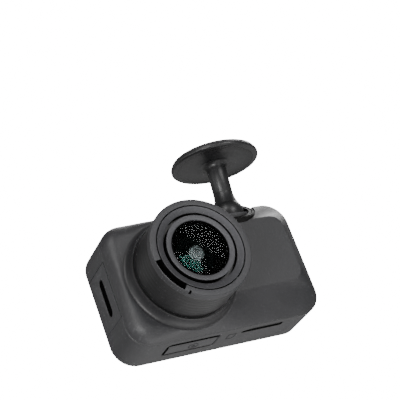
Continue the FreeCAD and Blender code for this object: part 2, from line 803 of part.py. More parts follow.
def mount_disc():
    """Round plate with a shallow dish under it, a boss for the arm and a rounded rim."""
    top = DISC_HEIGHT + DISC_THICKNESS
    plate = lathe(
        [
            (0, DISC_HEIGHT),
            (BOSS_RADIUS, DISC_HEIGHT),
            (BOSS_RADIUS + 0.7, DISC_HEIGHT + DISH_DEPTH - 0.1),
            (DISH_RADIUS, DISC_HEIGHT + DISH_DEPTH),
            (DISH_RADIUS + 0.6, DISC_HEIGHT + 0.1),
            (DISH_RADIUS + 1.1, DISC_HEIGHT),
            (DISC_RADIUS - 0.4, DISC_HEIGHT + 0.2),
            (DISC_RADIUS, DISC_HEIGHT + 0.65),
            (DISC_RADIUS - 0.1, top - 0.2),
            (DISC_RADIUS - 0.35, top),
            (0, top),
        ]
    )
    hole = Part.makeCylinder(DISC_SCREW_RADIUS, DISC_THICKNESS + 2, Vector(0, 0, DISC_HEIGHT - 1))
    sink = Part.makeCylinder(DISC_SCREW_HEAD + 0.05, 2, Vector(0, 0, top - DISC_SCREW_SINK))
    return along(plate.cut([hole, sink]), arm_axis())


def disc_screw():
    head_foot = DISC_HEIGHT + DISC_THICKNESS - DISC_SCREW_SINK + 0.02
    head = Part.makeCylinder(DISC_SCREW_HEAD, DISC_SCREW_SINK - 0.07, Vector(0, 0, head_foot))
    tip = DISC_HEIGHT - DISC_SCREW_REACH + 0.5
    stem = Part.makeCylinder(DISC_SCREW_RADIUS - 0.02, head_foot - tip, Vector(0, 0, tip))
    return along(head.fuse(stem), arm_axis())


def adhesive_pad():
    foot = Vector(0, 0, DISC_HEIGHT + DISC_THICKNESS)
    return along(Part.makeCylinder(PAD_RADIUS, PAD_THICKNESS, foot), arm_axis())


def adhesive_face_centre():
    return ball_centre() + arm_axis() * (DISC_HEIGHT + DISC_THICKNESS + PAD_THICKNESS)


SUBPARTS = [
    front_shell, rear_shell, side_port_panel, power_receptacle,
    barrel_collar, lens_barrel, bezel_outer, bezel_middle, bezel_inner, front_glass,
    lens_baffle, lens_cell, front_element, middle_element, rear_element, aperture_ring,
    element_retainer, lens_gasket, infrared_filter, sensor_holder, image_sensor, sensor_board,
    board_connector, main_board, processor, shield_can, heat_spreader, backup_cell,
    card_socket, memory_card, buzzer, microphone, status_light, antenna, board_screws,
    event_button, button_switch,
    socket_cup, socket_ring, socket_liner, mount_ball, ball_screw, mount_arm, mount_disc,
    disc_screw, adhesive_pad,
]


def main():
    os.makedirs("parts", exist_ok=True)
    to_origin = adhesive_face_centre() * -1
    for build in SUBPARTS:
        shape = build()
        shape.translate(to_origin)
        shape.exportStep("parts/" + build.__name__ + ".step")
        print(build.__name__, round(shape.Volume, 1), len(shape.Solids), shape.isValid())
    print("origin moved by", [round(v, 4) for v in to_origin])
    print("ball centre", [round(v, 4) for v in ball_centre() + to_origin], "arm", list(arm_axis()))


main()
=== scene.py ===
import json
import math

import bmesh
import bpy
from mathutils import Matrix, Vector


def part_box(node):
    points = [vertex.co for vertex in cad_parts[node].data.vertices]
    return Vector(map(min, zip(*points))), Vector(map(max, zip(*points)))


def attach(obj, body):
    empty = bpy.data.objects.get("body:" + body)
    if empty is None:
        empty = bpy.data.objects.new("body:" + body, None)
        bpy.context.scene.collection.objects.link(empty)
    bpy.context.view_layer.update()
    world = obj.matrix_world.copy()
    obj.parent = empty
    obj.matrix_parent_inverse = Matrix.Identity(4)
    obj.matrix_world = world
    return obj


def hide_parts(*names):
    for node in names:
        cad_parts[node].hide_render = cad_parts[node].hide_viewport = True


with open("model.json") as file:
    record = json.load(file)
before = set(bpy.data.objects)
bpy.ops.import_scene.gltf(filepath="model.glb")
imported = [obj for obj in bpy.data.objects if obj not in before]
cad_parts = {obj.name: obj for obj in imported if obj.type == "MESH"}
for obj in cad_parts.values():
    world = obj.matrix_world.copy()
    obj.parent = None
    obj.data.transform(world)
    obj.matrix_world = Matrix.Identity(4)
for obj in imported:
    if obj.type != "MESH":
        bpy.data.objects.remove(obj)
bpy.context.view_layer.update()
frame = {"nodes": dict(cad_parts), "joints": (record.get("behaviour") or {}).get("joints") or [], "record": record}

# Looks for the windscreen camera. Shapes are worked out in millimetres in the case's own axes
# (origin in the middle of the seam between the two shells, X right facing the lens, Y back, Z up)
# and placed in the row frame by case_matrix().

MM = 0.001
TURN = 2 * math.pi

# ---- driving sizes, millimetres ----
CASE_HALF_WIDTH = 26.45
CASE_HALF_HEIGHT = 15.65
CASE_CORNER = 6.0
BAND_DEPTH = 13.0
REAR_EDGE = 0.7
WALL = 1.6
SEAM_LIP = 0.14
FRONT_DEPTH = 3.85
SEAM_GAP = 0.05
RABBET = 0.9
FRONT_COLUMNS = 900
REAR_COLUMNS = 720
FRONT_WALL = 1.5
FACE_BLEND = 0.5
LEAST_BEVEL = 0.3
BEVEL_POWER = 1.12
LEFT_EXTRA_POWER = 0.88
LEFT_BEGINS = (62, 112)
LEFT_ENDS = (228, 262)
PANEL_X = (-22.6, 22.5)
PANEL_Z = (-7.55, 10.6)
PANEL_CORNER = 3.5
LEFT_INSET = 3.85
LENS = (-9.94, -0.66)
COLLAR_RADIUS = 14.5
COLLAR_TOP_RADIUS = 13.2
NECK_RADIUS = 10.55
BARREL_RADIUS = 12.55
BARREL_FOOT_Y = -6.95
BARREL_FRONT_Y = -16.2
FACE_Y = -18.3
FACE_STEP = 0.5
RING_OUTER_BORE = 10.92
RING_MIDDLE = (9.1, 10.68)
RING_INNER = (7.05, 8.45)
GLASS_FRONT_Y = -17.5
GLASS_BACK_Y = -16.25
GLASS_DOME = 0.12
BARREL_BORE = 8.2
BARREL_NECK = 10.5
BARREL_BACK_Y = -1.0
GROOVE_COUNT = 6
GROOVE_START_Y = -14.6
GROOVE_PITCH = 1.35
GROOVE_WIDTH = 0.2
GROOVE_DEPTH = 0.018
GLASS_RADIUS = 7.0
BAFFLE_HOLE = 5.0
BAFFLE_OUTER = 8.1
BAFFLE_FUNNEL = ((5.9, -15.45), (6.6, -15.95), (6.9, BARREL_FRONT_Y))
BAFFLE_LIP = 0.8
BAFFLE_BACK_Y = -14.2
ELEMENT_RADIUS = 5.3
ELEMENT_FRONT_Y = -14.6
ELEMENT_CURVE = 24.9
ELEMENT_THICKNESS = 2.6
PUPIL_RADIUS = 1.95
PUPIL_DEPTH = 0.3
PUPIL_RIPPLE = 0.012
MOUTH_TILT = 43.0
BALL_DEPTH = 0.8
CUP_RADIUS = 6.7
CUP_BOWL = 6.2
CUP_SEAT = 5.05
TRIM_RADII = (5.12, 5.83)
TRIM_HEIGHTS = (0.05, 0.7)
LINER_RADII = (4.06, 4.99)
HUMP_RADIUS = 7.15
HUMP_FOOT = -6.5
BALL_RADIUS = 4.0
SPIGOT_RADIUS = 1.25
SCREW_ROOM_RADIUS = 1.9
NECK_LOW = 2.2
NECK_TOP = 5.6
NECK_FLARE = 0.75
ARM_RADIUS = 2.55
ARM_FLARE = 1.3
ARM_FLARE_HEIGHT = 1.5
DISC_RADIUS = 11.6
DISC_HEIGHT = 14.1
DISC_THICKNESS = 1.2
PAD_RADIUS = 11.1
PAD_THICKNESS = 0.6
INSERT_Z = (-7.0, 7.7)
INSERT_DEPTH = 1.25
INSERT_GAP = 0.09
INSERT_REAR_RIM = 0.9
PORT_Z = (-4.4, 5.2)
PORT_Y = (4.0, 6.7)
INLET_START = 2.7
INLET_LENGTH = 6.4
INLET_HALF = (1.75, 4.9)
INLET_HOLLOW_HALF = (1.35, 4.5)
INLET_TONGUE_HALF = (0.35, 3.4)
BUTTON_X = (-16.3, -2.0)
BUTTON_Y = (2.1, 8.8)
BUTTON_CORNER = 1.2
KEY_LEFT_INSET = 0.9
KEY_RIGHT_INSET = 0.15
KEY_FACE_DEPTH = 0.2
KEY_BACK_DEPTH = 2.2
FLANGE_OVERLAP = 0.7
FLANGE_Y = (2.3, 8.6)
FLANGE_DEPTHS = (1.87, 2.23)
RELIEF_X = (4.2, 19.0)
RELIEF_Y = (2.4, 10.8)
RELIEF_DEPTH = 0.2
CARD_X = 10.05
CARD_Y = 3.6
SLIT_HALF = (5.65, 0.65)
SLIT_CORNER = 0.3
SLIT_CHAMFER = 0.25
RELIEF_CORNER = 3.2
SOUND_HOLES = 4
SOUND_HOLE_PLACE = (15, -5)
SOUND_HOLE_PITCH = 2
SOUND_HOLE_RADIUS = 0.45
LIGHT_PLACE = (19.5, 8.5)
LIGHT_RADIUS = 0.9
SLOT_ANGLES = (-173.0, -129.0)
SLOT_RADII = (10.8, 12.4)
SLOT_BACK_Y = -16.5
NOTCH_ANGLES = (-124.0, -121.5)
NOTCH_RADII = (12.0, 13.0)
NOTCH_DEPTH = 0.8

# ---- camera and light ----
CAMERA_PLACE = (-135.22, -245.11, -97.59)
CAMERA_YAW = 29.703
CAMERA_PITCH = 22.605
CAMERA_ROLL = -21.102
CAMERA_LENS = 108.258
CAMERA_SENSOR = 36
CAMERA_NEAR = 0.01
WORLD_LIGHT = 0.22
BACKDROP_LIGHT = 18.0
FLOOR_SIZE = 4
FLOOR_HEIGHT = -0.19
# name, place from the case in metres, side in metres, watts
LIGHTS = (
    ("key", (0.16, -0.56, 0.10), 0.22, 1.35),
    ("top_right_back", (0.40, 0.25, 0.50), 0.40, 3.5),
    ("left_back", (-0.45, 0.50, 0.20), 0.35, 0.15),
    ("left", (-0.60, 0.0, 0.05), 0.30, 0.5),
    ("low_left", (-0.32, -0.32, -0.12), 0.12, 1.5),
    ("below", (0.0, 0.0, -0.14), 0.12, 0.075),
    ("front_left_up", (-0.30, -0.45, 0.35), 0.25, 1.5),
)


def case_origin():
    """Middle of the seam plane, from the rear shell's box."""
    low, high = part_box("rear_shell")
    return Vector(((low.x + high.x) / 2, low.y - SEAM_GAP * MM, low.z + CASE_HALF_HEIGHT * MM))


def case_matrix():
    return Matrix.Translation(case_origin()) @ Matrix.Scale(MM, 4)


def lens_matrix():
    """Local Z runs backwards along the lens axis, so a lathe height is a case Y."""
    turn = Matrix.Rotation(-math.pi / 2, 4, "X")
    return case_matrix() @ Matrix.Translation((LENS[0], 0, LENS[1])) @ turn


def arm_joint():
    return next(j for j in frame["joints"] if j["name"] == "arm_spin")


def ball_matrix(axis):
    """Local Z along an axis through the ball's centre."""
    place = Vector(arm_joint()["pos_m"])
    turn = Vector((0, 0, 1)).rotation_difference(Vector(axis)).to_matrix().to_4x4()
    return Matrix.Translation(place) @ turn @ Matrix.Scale(MM, 4)


def arm_axis():
    return Vector(arm_joint()["axis"])


def mouth_axis():
    tilt = math.radians(MOUTH_TILT)
    return Vector((0, -math.sin(tilt), math.cos(tilt)))


# ---- mesh helpers ----


def piece(name, points, faces, matrix, sharp=35.0):
    mesh = bpy.data.meshes.new(name)
    mesh.from_pydata([tuple(p) for p in points], [], faces)
    mesh.transform(matrix)
    mesh.validate()
    mesh.update()
    mesh.shade_smooth()
    mesh.set_sharp_from_angle(angle=math.radians(sharp))
    obj = bpy.data.objects.new(name, mesh)
    bpy.context.scene.collection.objects.link(obj)
    return obj


def finish_piece(obj, body, slot, materials, *nodes, look=None):
    """Rides a piece on its body and gives it the slot's material, or the look's where named."""
    obj.data.materials.clear()
    obj.data.materials.append(materials[look or slot])
    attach(obj, body)
    if nodes:
        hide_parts(*nodes)


def grid_faces(columns, rows):
    """Quads over a grid that wraps round both ways."""
    faces = []
    for c in range(columns):
        d = (c + 1) % columns
        for r in range(rows):
            s = (r + 1) % rows
            faces.append((c * rows + r, d * rows + r, d * rows + s, c * rows + s))
    return faces


def strip_faces(count, closed):
    """Quads along a row of four-sided sections, with end caps unless it closes on itself."""
    faces = []
    for n in range(count if closed else count - 1):
        m = (n + 1) % count
        for r in range(4):
            q = (r + 1) % 4
            faces.append((4 * n + r, 4 * m + r, 4 * m + q, 4 * n + q))
    if not closed:
        faces += [(0, 1, 2, 3), tuple(4 * count - 4 + r for r in (3, 2, 1, 0))]
    return faces


def tube_faces(sections, ring):
    """Quads along a row of closed sections with ring points each."""
    faces = []
    for base in range(0, (sections - 1) * ring, ring):
        for n in range(ring):
            m = (n + 1) % ring
            faces.append((base + n, base + m, base + ring + m, base + ring + n))
    return faces


def soften(points, radius):
    """A closed outline with every corner cut by a short arc of about that radius."""
    steps = 4
    result = []
    count = len(points)
    for i, corner in enumerate(points):
        before = Vector(points[i - 1])
        here = Vector(corner)
        after = Vector(points[(i + 1) % count])
        to_before = before - here
        to_after = after - here
        reach = min(radius, to_before.length * 0.45, to_after.length * 0.45)
        if reach < 0.004 or abs(to_before.angle(to_after) - math.pi) < 0.12:
            result.append((here.x, here.y))
            continue
        start = here + to_before.normalized() * reach
        end = here + to_after.normalized() * reach
        for n in range(steps + 1):
            t = n / steps
            spot = start * (1 - t) ** 2 + here * (2 * t * (1 - t)) + end * t * t
            result.append((spot.x, spot.y))
    return result


def lathe(name, profile, matrix, columns=256, sharp=35.0):
    """Turns a closed outline of (radius, height) about local Z. Points on the axis are merged."""
    rows = len(profile)
    points = []
    for c in range(columns):
        angle = TURN * c / columns
        for radius, height in profile:
            points.append((radius * math.cos(angle), radius * math.sin(angle), height))
    obj = piece(name, points, grid_faces(columns, rows), matrix, sharp)
    merge_close(obj, sharp)
    return obj


def merge_close(obj, sharp=35.0):
    work = bmesh.new()
    work.from_mesh(obj.data)
    bmesh.ops.remove_doubles(work, verts=work.verts, dist=0.002 * MM)
    bmesh.ops.dissolve_degenerate(work, edges=work.edges, dist=0.0005 * MM)
    bmesh.ops.recalc_face_normals(work, faces=work.faces)
    work.to_mesh(obj.data)
    work.free()
    obj.data.shade_smooth()
    obj.data.set_sharp_from_angle(angle=math.radians(sharp))


def apply_modifiers(obj):
    """Replaces the mesh by what its modifiers make of it."""
    bpy.context.view_layer.update()
    changed = obj.evaluated_get(bpy.context.evaluated_depsgraph_get())
    result = bpy.data.meshes.new_from_object(changed)
    obj.modifiers.clear()
    obj.data = result


def combine(obj, other, operation):
    """Boolean of two closed meshes. The first keeps the result and the second is removed."""
    change = obj.modifiers.new("combine", "BOOLEAN")
    change.operation = operation
    change.solver = "EXACT"
    change.object = other
    apply_modifiers(obj)
    bpy.data.objects.remove(other)


def cut(obj, *cutters, sharp=35.0):
    """Takes the cutters' volume out of a closed mesh."""
    for cutter in cutters:
        combine(obj, cutter, "DIFFERENCE")
    merge_close(obj, sharp)


# ---- outlines ----


def rounded_distance(x, z, low_x, high_x, low_z, high_z, radius):
    """Signed distance from a rectangle with round corners; negative inside."""
    across = abs(x - (low_x + high_x) / 2) - (high_x - low_x) / 2 + radius
    up = abs(z - (low_z + high_z) / 2) - (high_z - low_z) / 2 + radius
    outside = math.hypot(max(across, 0), max(up, 0))
    return outside + min(max(across, up), 0) - radius


def case_distance(x, z):
    w = CASE_HALF_WIDTH
    h = CASE_HALF_HEIGHT
    return rounded_distance(x, z, -w, w, -h, h, CASE_CORNER)


def panel_distance(x, z):
    return rounded_distance(x, z, *PANEL_X, *PANEL_Z, PANEL_CORNER)


def farthest(still_inside, high, rounds):
    """The longest reach, up to high, at which the test still holds. Found by halving."""
    low = 0.0
    for _ in range(rounds):
        middle = (low + high) / 2
        if still_inside(middle):
            low = middle
        else:
            high = middle
    return (low + high) / 2


def reach_from_lens(angle, distance, level):
    """How far a ray from the lens axis runs before the distance function passes a level."""
    x, z = LENS
    across = math.cos(angle)
    up = math.sin(angle)
    return farthest(lambda reach: distance(x + reach * across, z + reach * up) < level, 60.0, 40)


def centre_reach(angle, inset):
    """How far a ray from the case's middle runs before it meets the outline moved in by inset."""
    across = math.cos(angle)
    up = math.sin(angle)
    return farthest(lambda reach: case_distance(reach * across, reach * up) < -inset, 40.0, 36)


def smooth_max(a, b, blend):
    h = max(blend - abs(a - b), 0) / blend
    return max(a, b) + h * h * blend / 4


def ease(value, start, end):
    t = min(max((value - start) / (end - start), 0), 1)
    return t * t * (3 - 2 * t)


# ---- materials ----


def new_material(name):
    material = bpy.data.materials.new(name)
    material.use_nodes = True
    tree = material.node_tree
    return material, tree, tree.nodes["Principled BSDF"]


def add_node(tree, kind, **inputs):
    node = tree.nodes.new(kind)
    for key, value in inputs.items():
        node.inputs[key.replace("_", " ")].default_value = value
    return node


def object_points(tree):
    return tree.nodes.new("ShaderNodeTexCoord").outputs["Object"]


def ramp(tree, source, stops):
    node = tree.nodes.new("ShaderNodeValToRGB")
    elements = node.color_ramp.elements
    while len(elements) < len(stops):
        elements.new(0.5)
    for element, (place, colour) in zip(elements, stops):
        element.position = place
        element.color = (*colour, 1)
    tree.links.new(source, node.inputs["Fac"])
    return node.outputs["Color"]


def remap(tree, source, low, high, from_low=0.0, from_high=1.0):
    ends = {"From_Min": from_low, "From_Max": from_high, "To_Min": low, "To_Max": high}
    node = add_node(tree, "ShaderNodeMapRange", **ends)
    tree.links.new(source, node.inputs["Value"])
    return node.outputs["Result"]


def noise(tree, scale, detail=3.0, rough=0.55):
    node = add_node(tree, "ShaderNodeTexNoise", Scale=scale, Detail=detail, Roughness=rough)
    tree.links.new(object_points(tree), node.inputs["Vector"])
    return node.outputs["Fac"]


def bump(tree, shader, height, strength, distance, base=None):
    node = add_node(tree, "ShaderNodeBump", Strength=strength, Distance=distance)
    tree.links.new(height, node.inputs["Height"])
    if base is not None:
        tree.links.new(base, node.inputs["Normal"])
    tree.links.new(node.outputs["Normal"], shader.inputs["Normal"])
    return node.outputs["Normal"]


def shade(colour, factor):
    return tuple(min(c * factor, 1) for c in colour)


def moulded(name, colour, rough=0.5, grain=0.5, grain_mm=0.22, spec=0.5):
    """Spark-eroded moulded plastic: fine pebble grain, faint cloudiness, and a painted highlight on its sharp
    edges.
    """
    material, tree, shader = new_material(name)
    cloud = noise(tree, 90.0, 4.0)
    base = ramp(tree, cloud, [(0.3, shade(colour, 0.88)), (0.7, shade(colour, 1.12))])
    fine = noise(tree, 2.2 / (grain_mm * MM), 2.0, 0.7)
    speck = ramp(tree, fine, [(0.35, (0.80, 0.80, 0.80)), (0.68, (1.22, 1.22, 1.22))])
    # a colour mix takes its factor at input 0 and its colours at 6 and 7
    mix = tree.nodes.new("ShaderNodeMix")
    mix.data_type = "RGBA"
    mix.blend_type = "MULTIPLY"
    mix.inputs[0].default_value = 1.0
    tree.links.new(base, mix.inputs[6])
    tree.links.new(speck, mix.inputs[7])
    # painted highlight: sharp convex edges, found by pointiness, are painted much lighter
    geometry = tree.nodes.new("ShaderNodeNewGeometry")
    edge_highlight = remap(tree, geometry.outputs["Pointiness"], 0.0, 0.55, 0.52, 0.60)
    edge = tree.nodes.new("ShaderNodeMix")
    edge.data_type = "RGBA"
    edge.inputs[7].default_value = (*shade(colour, 1.9), 1)
    tree.links.new(edge_highlight, edge.inputs[0])
    tree.links.new(mix.outputs[2], edge.inputs[6])
    tree.links.new(edge.outputs[2], shader.inputs["Base Color"])
    tree.links.new(remap(tree, cloud, rough - 0.05, rough + 0.06), shader.inputs["Roughness"])
    shader.inputs["Specular IOR Level"].default_value = spec
    pebble = add_node(tree, "ShaderNodeTexVoronoi", Scale=1.0 / (grain_mm * MM))
    tree.links.new(object_points(tree), pebble.inputs["Vector"])
    first = bump(tree, shader, pebble.outputs["Distance"], grain, 0.03 * MM)
    bump(tree, shader, fine, grain * 0.8, 0.02 * MM, first)
    return material


def satin(name, colour, rough):
    """Smooth satin plastic: faint cloudiness in colour and gloss, hair-fine surface waviness."""
    material, tree, shader = new_material(name)
    cloud = noise(tree, 140.0, 4.0)
    tone = ramp(tree, cloud, [(0.3, shade(colour, 0.95)), (0.7, shade(colour, 1.05))])
    tree.links.new(tone, shader.inputs["Base Color"])
    tree.links.new(remap(tree, cloud, rough - 0.02, rough + 0.02), shader.inputs["Roughness"])
    bump(tree, shader, noise(tree, 1500.0, 2.0, 0.5), 0.03, 0.004 * MM)
    return material


def flat_black(name):
    """Light-absorbing paint with a faint dusty variation. Besides the baffle's real black, it is laid on walls of
    gaps, grooves and openings as painted shade.
    """
    material, tree, shader = new_material(name)
    dust = noise(tree, 800.0, 3.0)
    tone = ramp(tree, dust, [(0.3, (0.0008,) * 3), (0.7, (0.0016,) * 3)])
    tree.links.new(tone, shader.inputs["Base Color"])
    tree.links.new(remap(tree, dust, 0.8, 1.0), shader.inputs["Roughness"])
    shader.inputs["Specular IOR Level"].default_value = 0.05
    return material


def glassy(name, colour, rough, tint):
    """Clear coated glass with a faint dusty variation in its gloss."""
    material, tree, shader = new_material(name)
    dust = noise(tree, 900.0, 3.0)
    tree.links.new(remap(tree, dust, rough, rough + 0.03, 0.4, 0.8), shader.inputs["Roughness"])
    shader.inputs["Base Color"].default_value = (*colour, 1)
    shader.inputs["Transmission Weight"].default_value = 1.0
    shader.inputs["IOR"].default_value = 1.5
    shader.inputs["Specular Tint"].default_value = (*tint, 1)
    return material


def coated_black(name):
    """Deep lens group seen from outside: black with a faint green coating reflection."""
    material, tree, shader = new_material(name)
    dust = noise(tree, 900.0, 3.0)
    tone = ramp(tree, dust, [(0.3, (0.0012,) * 3), (0.7, (0.002,) * 3)])
    tree.links.new(tone, shader.inputs["Base Color"])
    tree.links.new(remap(tree, dust, 0.03, 0.06), shader.inputs["Roughness"])
    shader.inputs["Specular Tint"].default_value = (0.005, 0.11, 0.08, 1)
    return material


def brushed(name, colour, rough, metallic=1.0, scale=1200.0):
    """Satin metal with fine scratches."""
    material, tree, shader = new_material(name)
    streak = noise(tree, scale, 4.0, 0.7)
    tone = ramp(tree, streak, [(0.3, shade(colour, 0.82)), (0.7, shade(colour, 1.15))])
    tree.links.new(tone, shader.inputs["Base Color"])
    tree.links.new(remap(tree, streak, rough - 0.06, rough + 0.08), shader.inputs["Roughness"])
    shader.inputs["Metallic"].default_value = metallic
    bump(tree, shader, streak, 0.25, 0.015 * MM)
    return material


def speckled(name, colour, other, rough, scale, metallic=0.0):
    """Two tones in fine spots, for the parts inside and the small trim."""
    material, tree, shader = new_material(name)
    spots = noise(tree, scale, 4.0, 0.6)
    tree.links.new(ramp(tree, spots, [(0.4, colour), (0.62, other)]), shader.inputs["Base Color"])
    tree.links.new(remap(tree, spots, rough - 0.05, rough + 0.08), shader.inputs["Roughness"])
    shader.inputs["Metallic"].default_value = metallic
    bump(tree, shader, spots, 0.2, 0.02 * MM)
    return material


def make_materials():
    """Each look holds the function that makes it and what that function is given after the name."""
    looks = {
        "case_plastic": (moulded, (0.023, 0.023, 0.025), 0.46, 0.6, 0.24),
        "panel_plastic": (moulded, (0.024, 0.024, 0.026), 0.48, 0.4, 0.22),
        "button_plastic": (moulded, (0.027, 0.027, 0.029), 0.42, 0.3, 0.2),
        "mount_plastic": (satin, (0.0105, 0.0105, 0.0115), 0.40),
        "collar_plastic": (satin, (0.012, 0.012, 0.013), 0.45),
        "barrel_plastic": (satin, (0.0055, 0.0055, 0.006), 0.42),
        "bezel_satin": (brushed, (0.058, 0.058, 0.063), 0.45, 0.5, 2600.0),
        "ring_dark": (brushed, (0.036, 0.036, 0.039), 0.45, 0.3, 2600.0),
        "lens_glass": (glassy, (0.95, 0.97, 1.0), 0.0, (0.005, 0.005, 0.006)),
        "element_coat": (coated_black,),
        "pupil_grey": (brushed, (0.06, 0.075, 0.07), 0.40, 0.6, 3000.0),
        "coated_glass": (glassy, (0.5, 0.8, 0.72), 0.0, (0.1, 1.0, 0.6)),
        "black_plastic": (moulded, (0.002, 0.002, 0.002), 0.6, 0.15, 0.3, 0.2),
        # real black of the baffle, and the painted shade on shadowed walls
        "baffle_black": (flat_black,),
        "liner_plastic": (moulded, (0.05, 0.05, 0.053), 0.35, 0.1, 0.3),
        "inlet_dark": (brushed, (0.012, 0.012, 0.012), 0.55, 0.4),
        "ink": (moulded, (0.008, 0.008, 0.009), 0.6, 0.1, 0.2, 0.3),
        "gasket_rubber": (speckled, (0.012, 0.012, 0.012), (0.03, 0.03, 0.03), 0.7, 2500.0),
        "chip_plastic": (speckled, (0.015, 0.015, 0.016), (0.035, 0.035, 0.036), 0.5, 3000.0),
        "board_laminate": (speckled, (0.008, 0.07, 0.035), (0.02, 0.14, 0.07), 0.35, 700.0),
        "plated_steel": (speckled, (0.50, 0.50, 0.49), (0.62, 0.61, 0.58), 0.25, 900.0, 1.0),
        "spreader_metal": (speckled, (0.62, 0.63, 0.65), (0.75, 0.75, 0.76), 0.35, 800.0, 1.0),
        "cell_pouch": (speckled, (0.45, 0.46, 0.48), (0.60, 0.61, 0.63), 0.3, 500.0, 1.0),
        "card_plastic": (speckled, (0.0015, 0.0015, 0.0015), (0.003, 0.003, 0.003), 0.7, 2500.0),
        "light_pipe": (speckled, (0.55, 0.60, 0.56), (0.70, 0.74, 0.70), 0.2, 600.0),
        "antenna_foil": (speckled, (0.35, 0.17, 0.03), (0.50, 0.27, 0.06), 0.35, 900.0),
        "screw_steel": (speckled, (0.16, 0.16, 0.17), (0.26, 0.26, 0.27), 0.35, 1500.0, 1.0),
        "adhesive_foam": (speckled, (0.018, 0.018, 0.018), (0.045, 0.045, 0.045), 0.8, 1800.0),
    }
    return {name: make(name, *given) for name, (make, *given) in looks.items()}


def paint_cad(materials):
    slots = {s["node"]: s["material_slot"] for s in frame["record"]["subparts"]}
    for name, obj in frame["nodes"].items():
        obj.data.materials.clear()
        obj.data.materials.append(materials[slots[name]])


# ---- case front ----


def front_shell(materials):
    """Columns round the lens axis: neck, flat face, bevel, seam lip, and back along the inside."""
    points = []
    rows = 0
    bevel_steps = 18
    lip = SEAM_LIP
    face_radius = COLLAR_RADIUS + 0.1
    lip_end = -0.06
    angles = [TURN * n / FRONT_COLUMNS for n in range(FRONT_COLUMNS)]
    for angle in angles:
        edge = reach_from_lens(angle, case_distance, 0)
        flat = reach_from_lens(angle, panel_distance, 0)
        inset = reach_from_lens(angle, case_distance, -LEFT_INSET)
        degrees = math.degrees(angle) % 360
        left = ease(degrees, *LEFT_BEGINS) * (1 - ease(degrees, *LEFT_ENDS))
        face = flat + (inset - flat) * left
        face = smooth_max(face, face_radius, FACE_BLEND)
        face = min(face, edge - LEAST_BEVEL)
        power = BEVEL_POWER + LEFT_EXTRA_POWER * left
        column = [(NECK_RADIUS, -FRONT_DEPTH), ((NECK_RADIUS + face) / 2, -FRONT_DEPTH)]
        column.append((face - 0.35, -FRONT_DEPTH))
        for n in range(bevel_steps + 1):
            swing = math.pi / 2 * n / bevel_steps
            out = math.sin(swing) ** (2 / power)
            back = math.cos(swing) ** (2 / power)
            column.append((face + (edge - face) * out, -lip - (FRONT_DEPTH - lip) * back))
        column.append((edge - 0.04, -lip * 0.75))
        column += [(edge - lip, lip_end), (edge - RABBET, lip_end), (edge - RABBET - 0.02, 0)]
        column.append((edge - WALL, 0))
        inner = max(min(face - WALL, edge - WALL - 0.3), NECK_RADIUS + 0.4)
        column += [(inner, -FRONT_DEPTH + FRONT_WALL), (NECK_RADIUS, -FRONT_DEPTH + FRONT_WALL)]
        rows = len(column)
        for radius, y in column:
            points.append((LENS[0] + radius * math.cos(angle), y, LENS[1] + radius * math.sin(angle)))
    shell = piece("front_shell_skin", points, grid_faces(len(angles), rows), case_matrix(), 24)
    merge_close(shell, 24)
    cut(shell, socket_room(0.05), sharp=24)
    finish_piece(shell, "camera", "case_plastic", materials, "front_shell")


def socket_room(clearance):
    """The space of the socket cup, as a cutter."""
    radius = CUP_RADIUS + clearance
    bowl = CUP_BOWL + clearance
    low = BALL_DEPTH - 1.25
    profile = [(0, -bowl)]
    steps = 40
    for n in range(1, steps):
        angle = math.pi / 2 * n / steps
        if -bowl * math.cos(angle) < low:
            profile.append((bowl * math.sin(angle), -bowl * math.cos(angle)))
    profile += [(math.sqrt(bowl * bowl - low * low), low), (radius, low), (radius, 12), (0, 12)]
    return lathe("socket_cutter", profile, ball_matrix(mouth_axis()), 128)


# ---- lens ----


def collar(materials):
    outline = []
    steps = 20
    depth = -BARREL_FOOT_Y - FRONT_DEPTH
    reach = COLLAR_RADIUS - COLLAR_TOP_RADIUS
    for n in range(steps + 1):
        angle = math.pi / 2 * n / steps
        radius = COLLAR_RADIUS - reach * math.sin(angle) ** 0.9
        outline.append((radius, -FRONT_DEPTH - (depth - 0.5) * (1 - math.cos(angle)) - 0.02))
    outline.append((COLLAR_TOP_RADIUS, BARREL_FOOT_Y + 0.14))
    outline.append((COLLAR_TOP_RADIUS - 0.06, BARREL_FOOT_Y + 0.03))
    outline.append((COLLAR_TOP_RADIUS - 0.16, BARREL_FOOT_Y))
    outline.append((BARREL_RADIUS + 0.35, BARREL_FOOT_Y + 0.02))
    outline.append((BARREL_RADIUS + 0.24, BARREL_FOOT_Y + 0.45))
    outline.append((BARREL_RADIUS + 0.02, BARREL_FOOT_Y + 0.45))
    outline += [(NECK_RADIUS, BARREL_FOOT_Y + 0.1), (NECK_RADIUS, -FRONT_DEPTH + 0.01)]
    obj = lathe("collar_skin", outline, lens_matrix())
    finish_piece(obj, "camera", "barrel_plastic", materials, "barrel_collar", look="collar_plastic")


def paint_shade_black(obj, material, is_shaded):
    """Paints shade: gives a second, black material to faces picked by place and direction in the row frame, the
    walls of gaps, grooves and openings that fall into shadow.
    """
    obj.data.materials.append(material)
    for face in obj.data.polygons:
        if is_shaded(face.center, face.normal):
            face.material_index = 1


def paint_shade_walls(obj, material, is_shaded):
    """Paints shade the same way, on faces picked by radius and height about the lens axis, in millimetres."""
    to_lens = lens_matrix().inverted()

    def is_picked(spot, normal):
        x, y, height = to_lens @ spot
        return is_shaded(math.hypot(x, y), height)

    paint_shade_black(obj, material, is_picked)


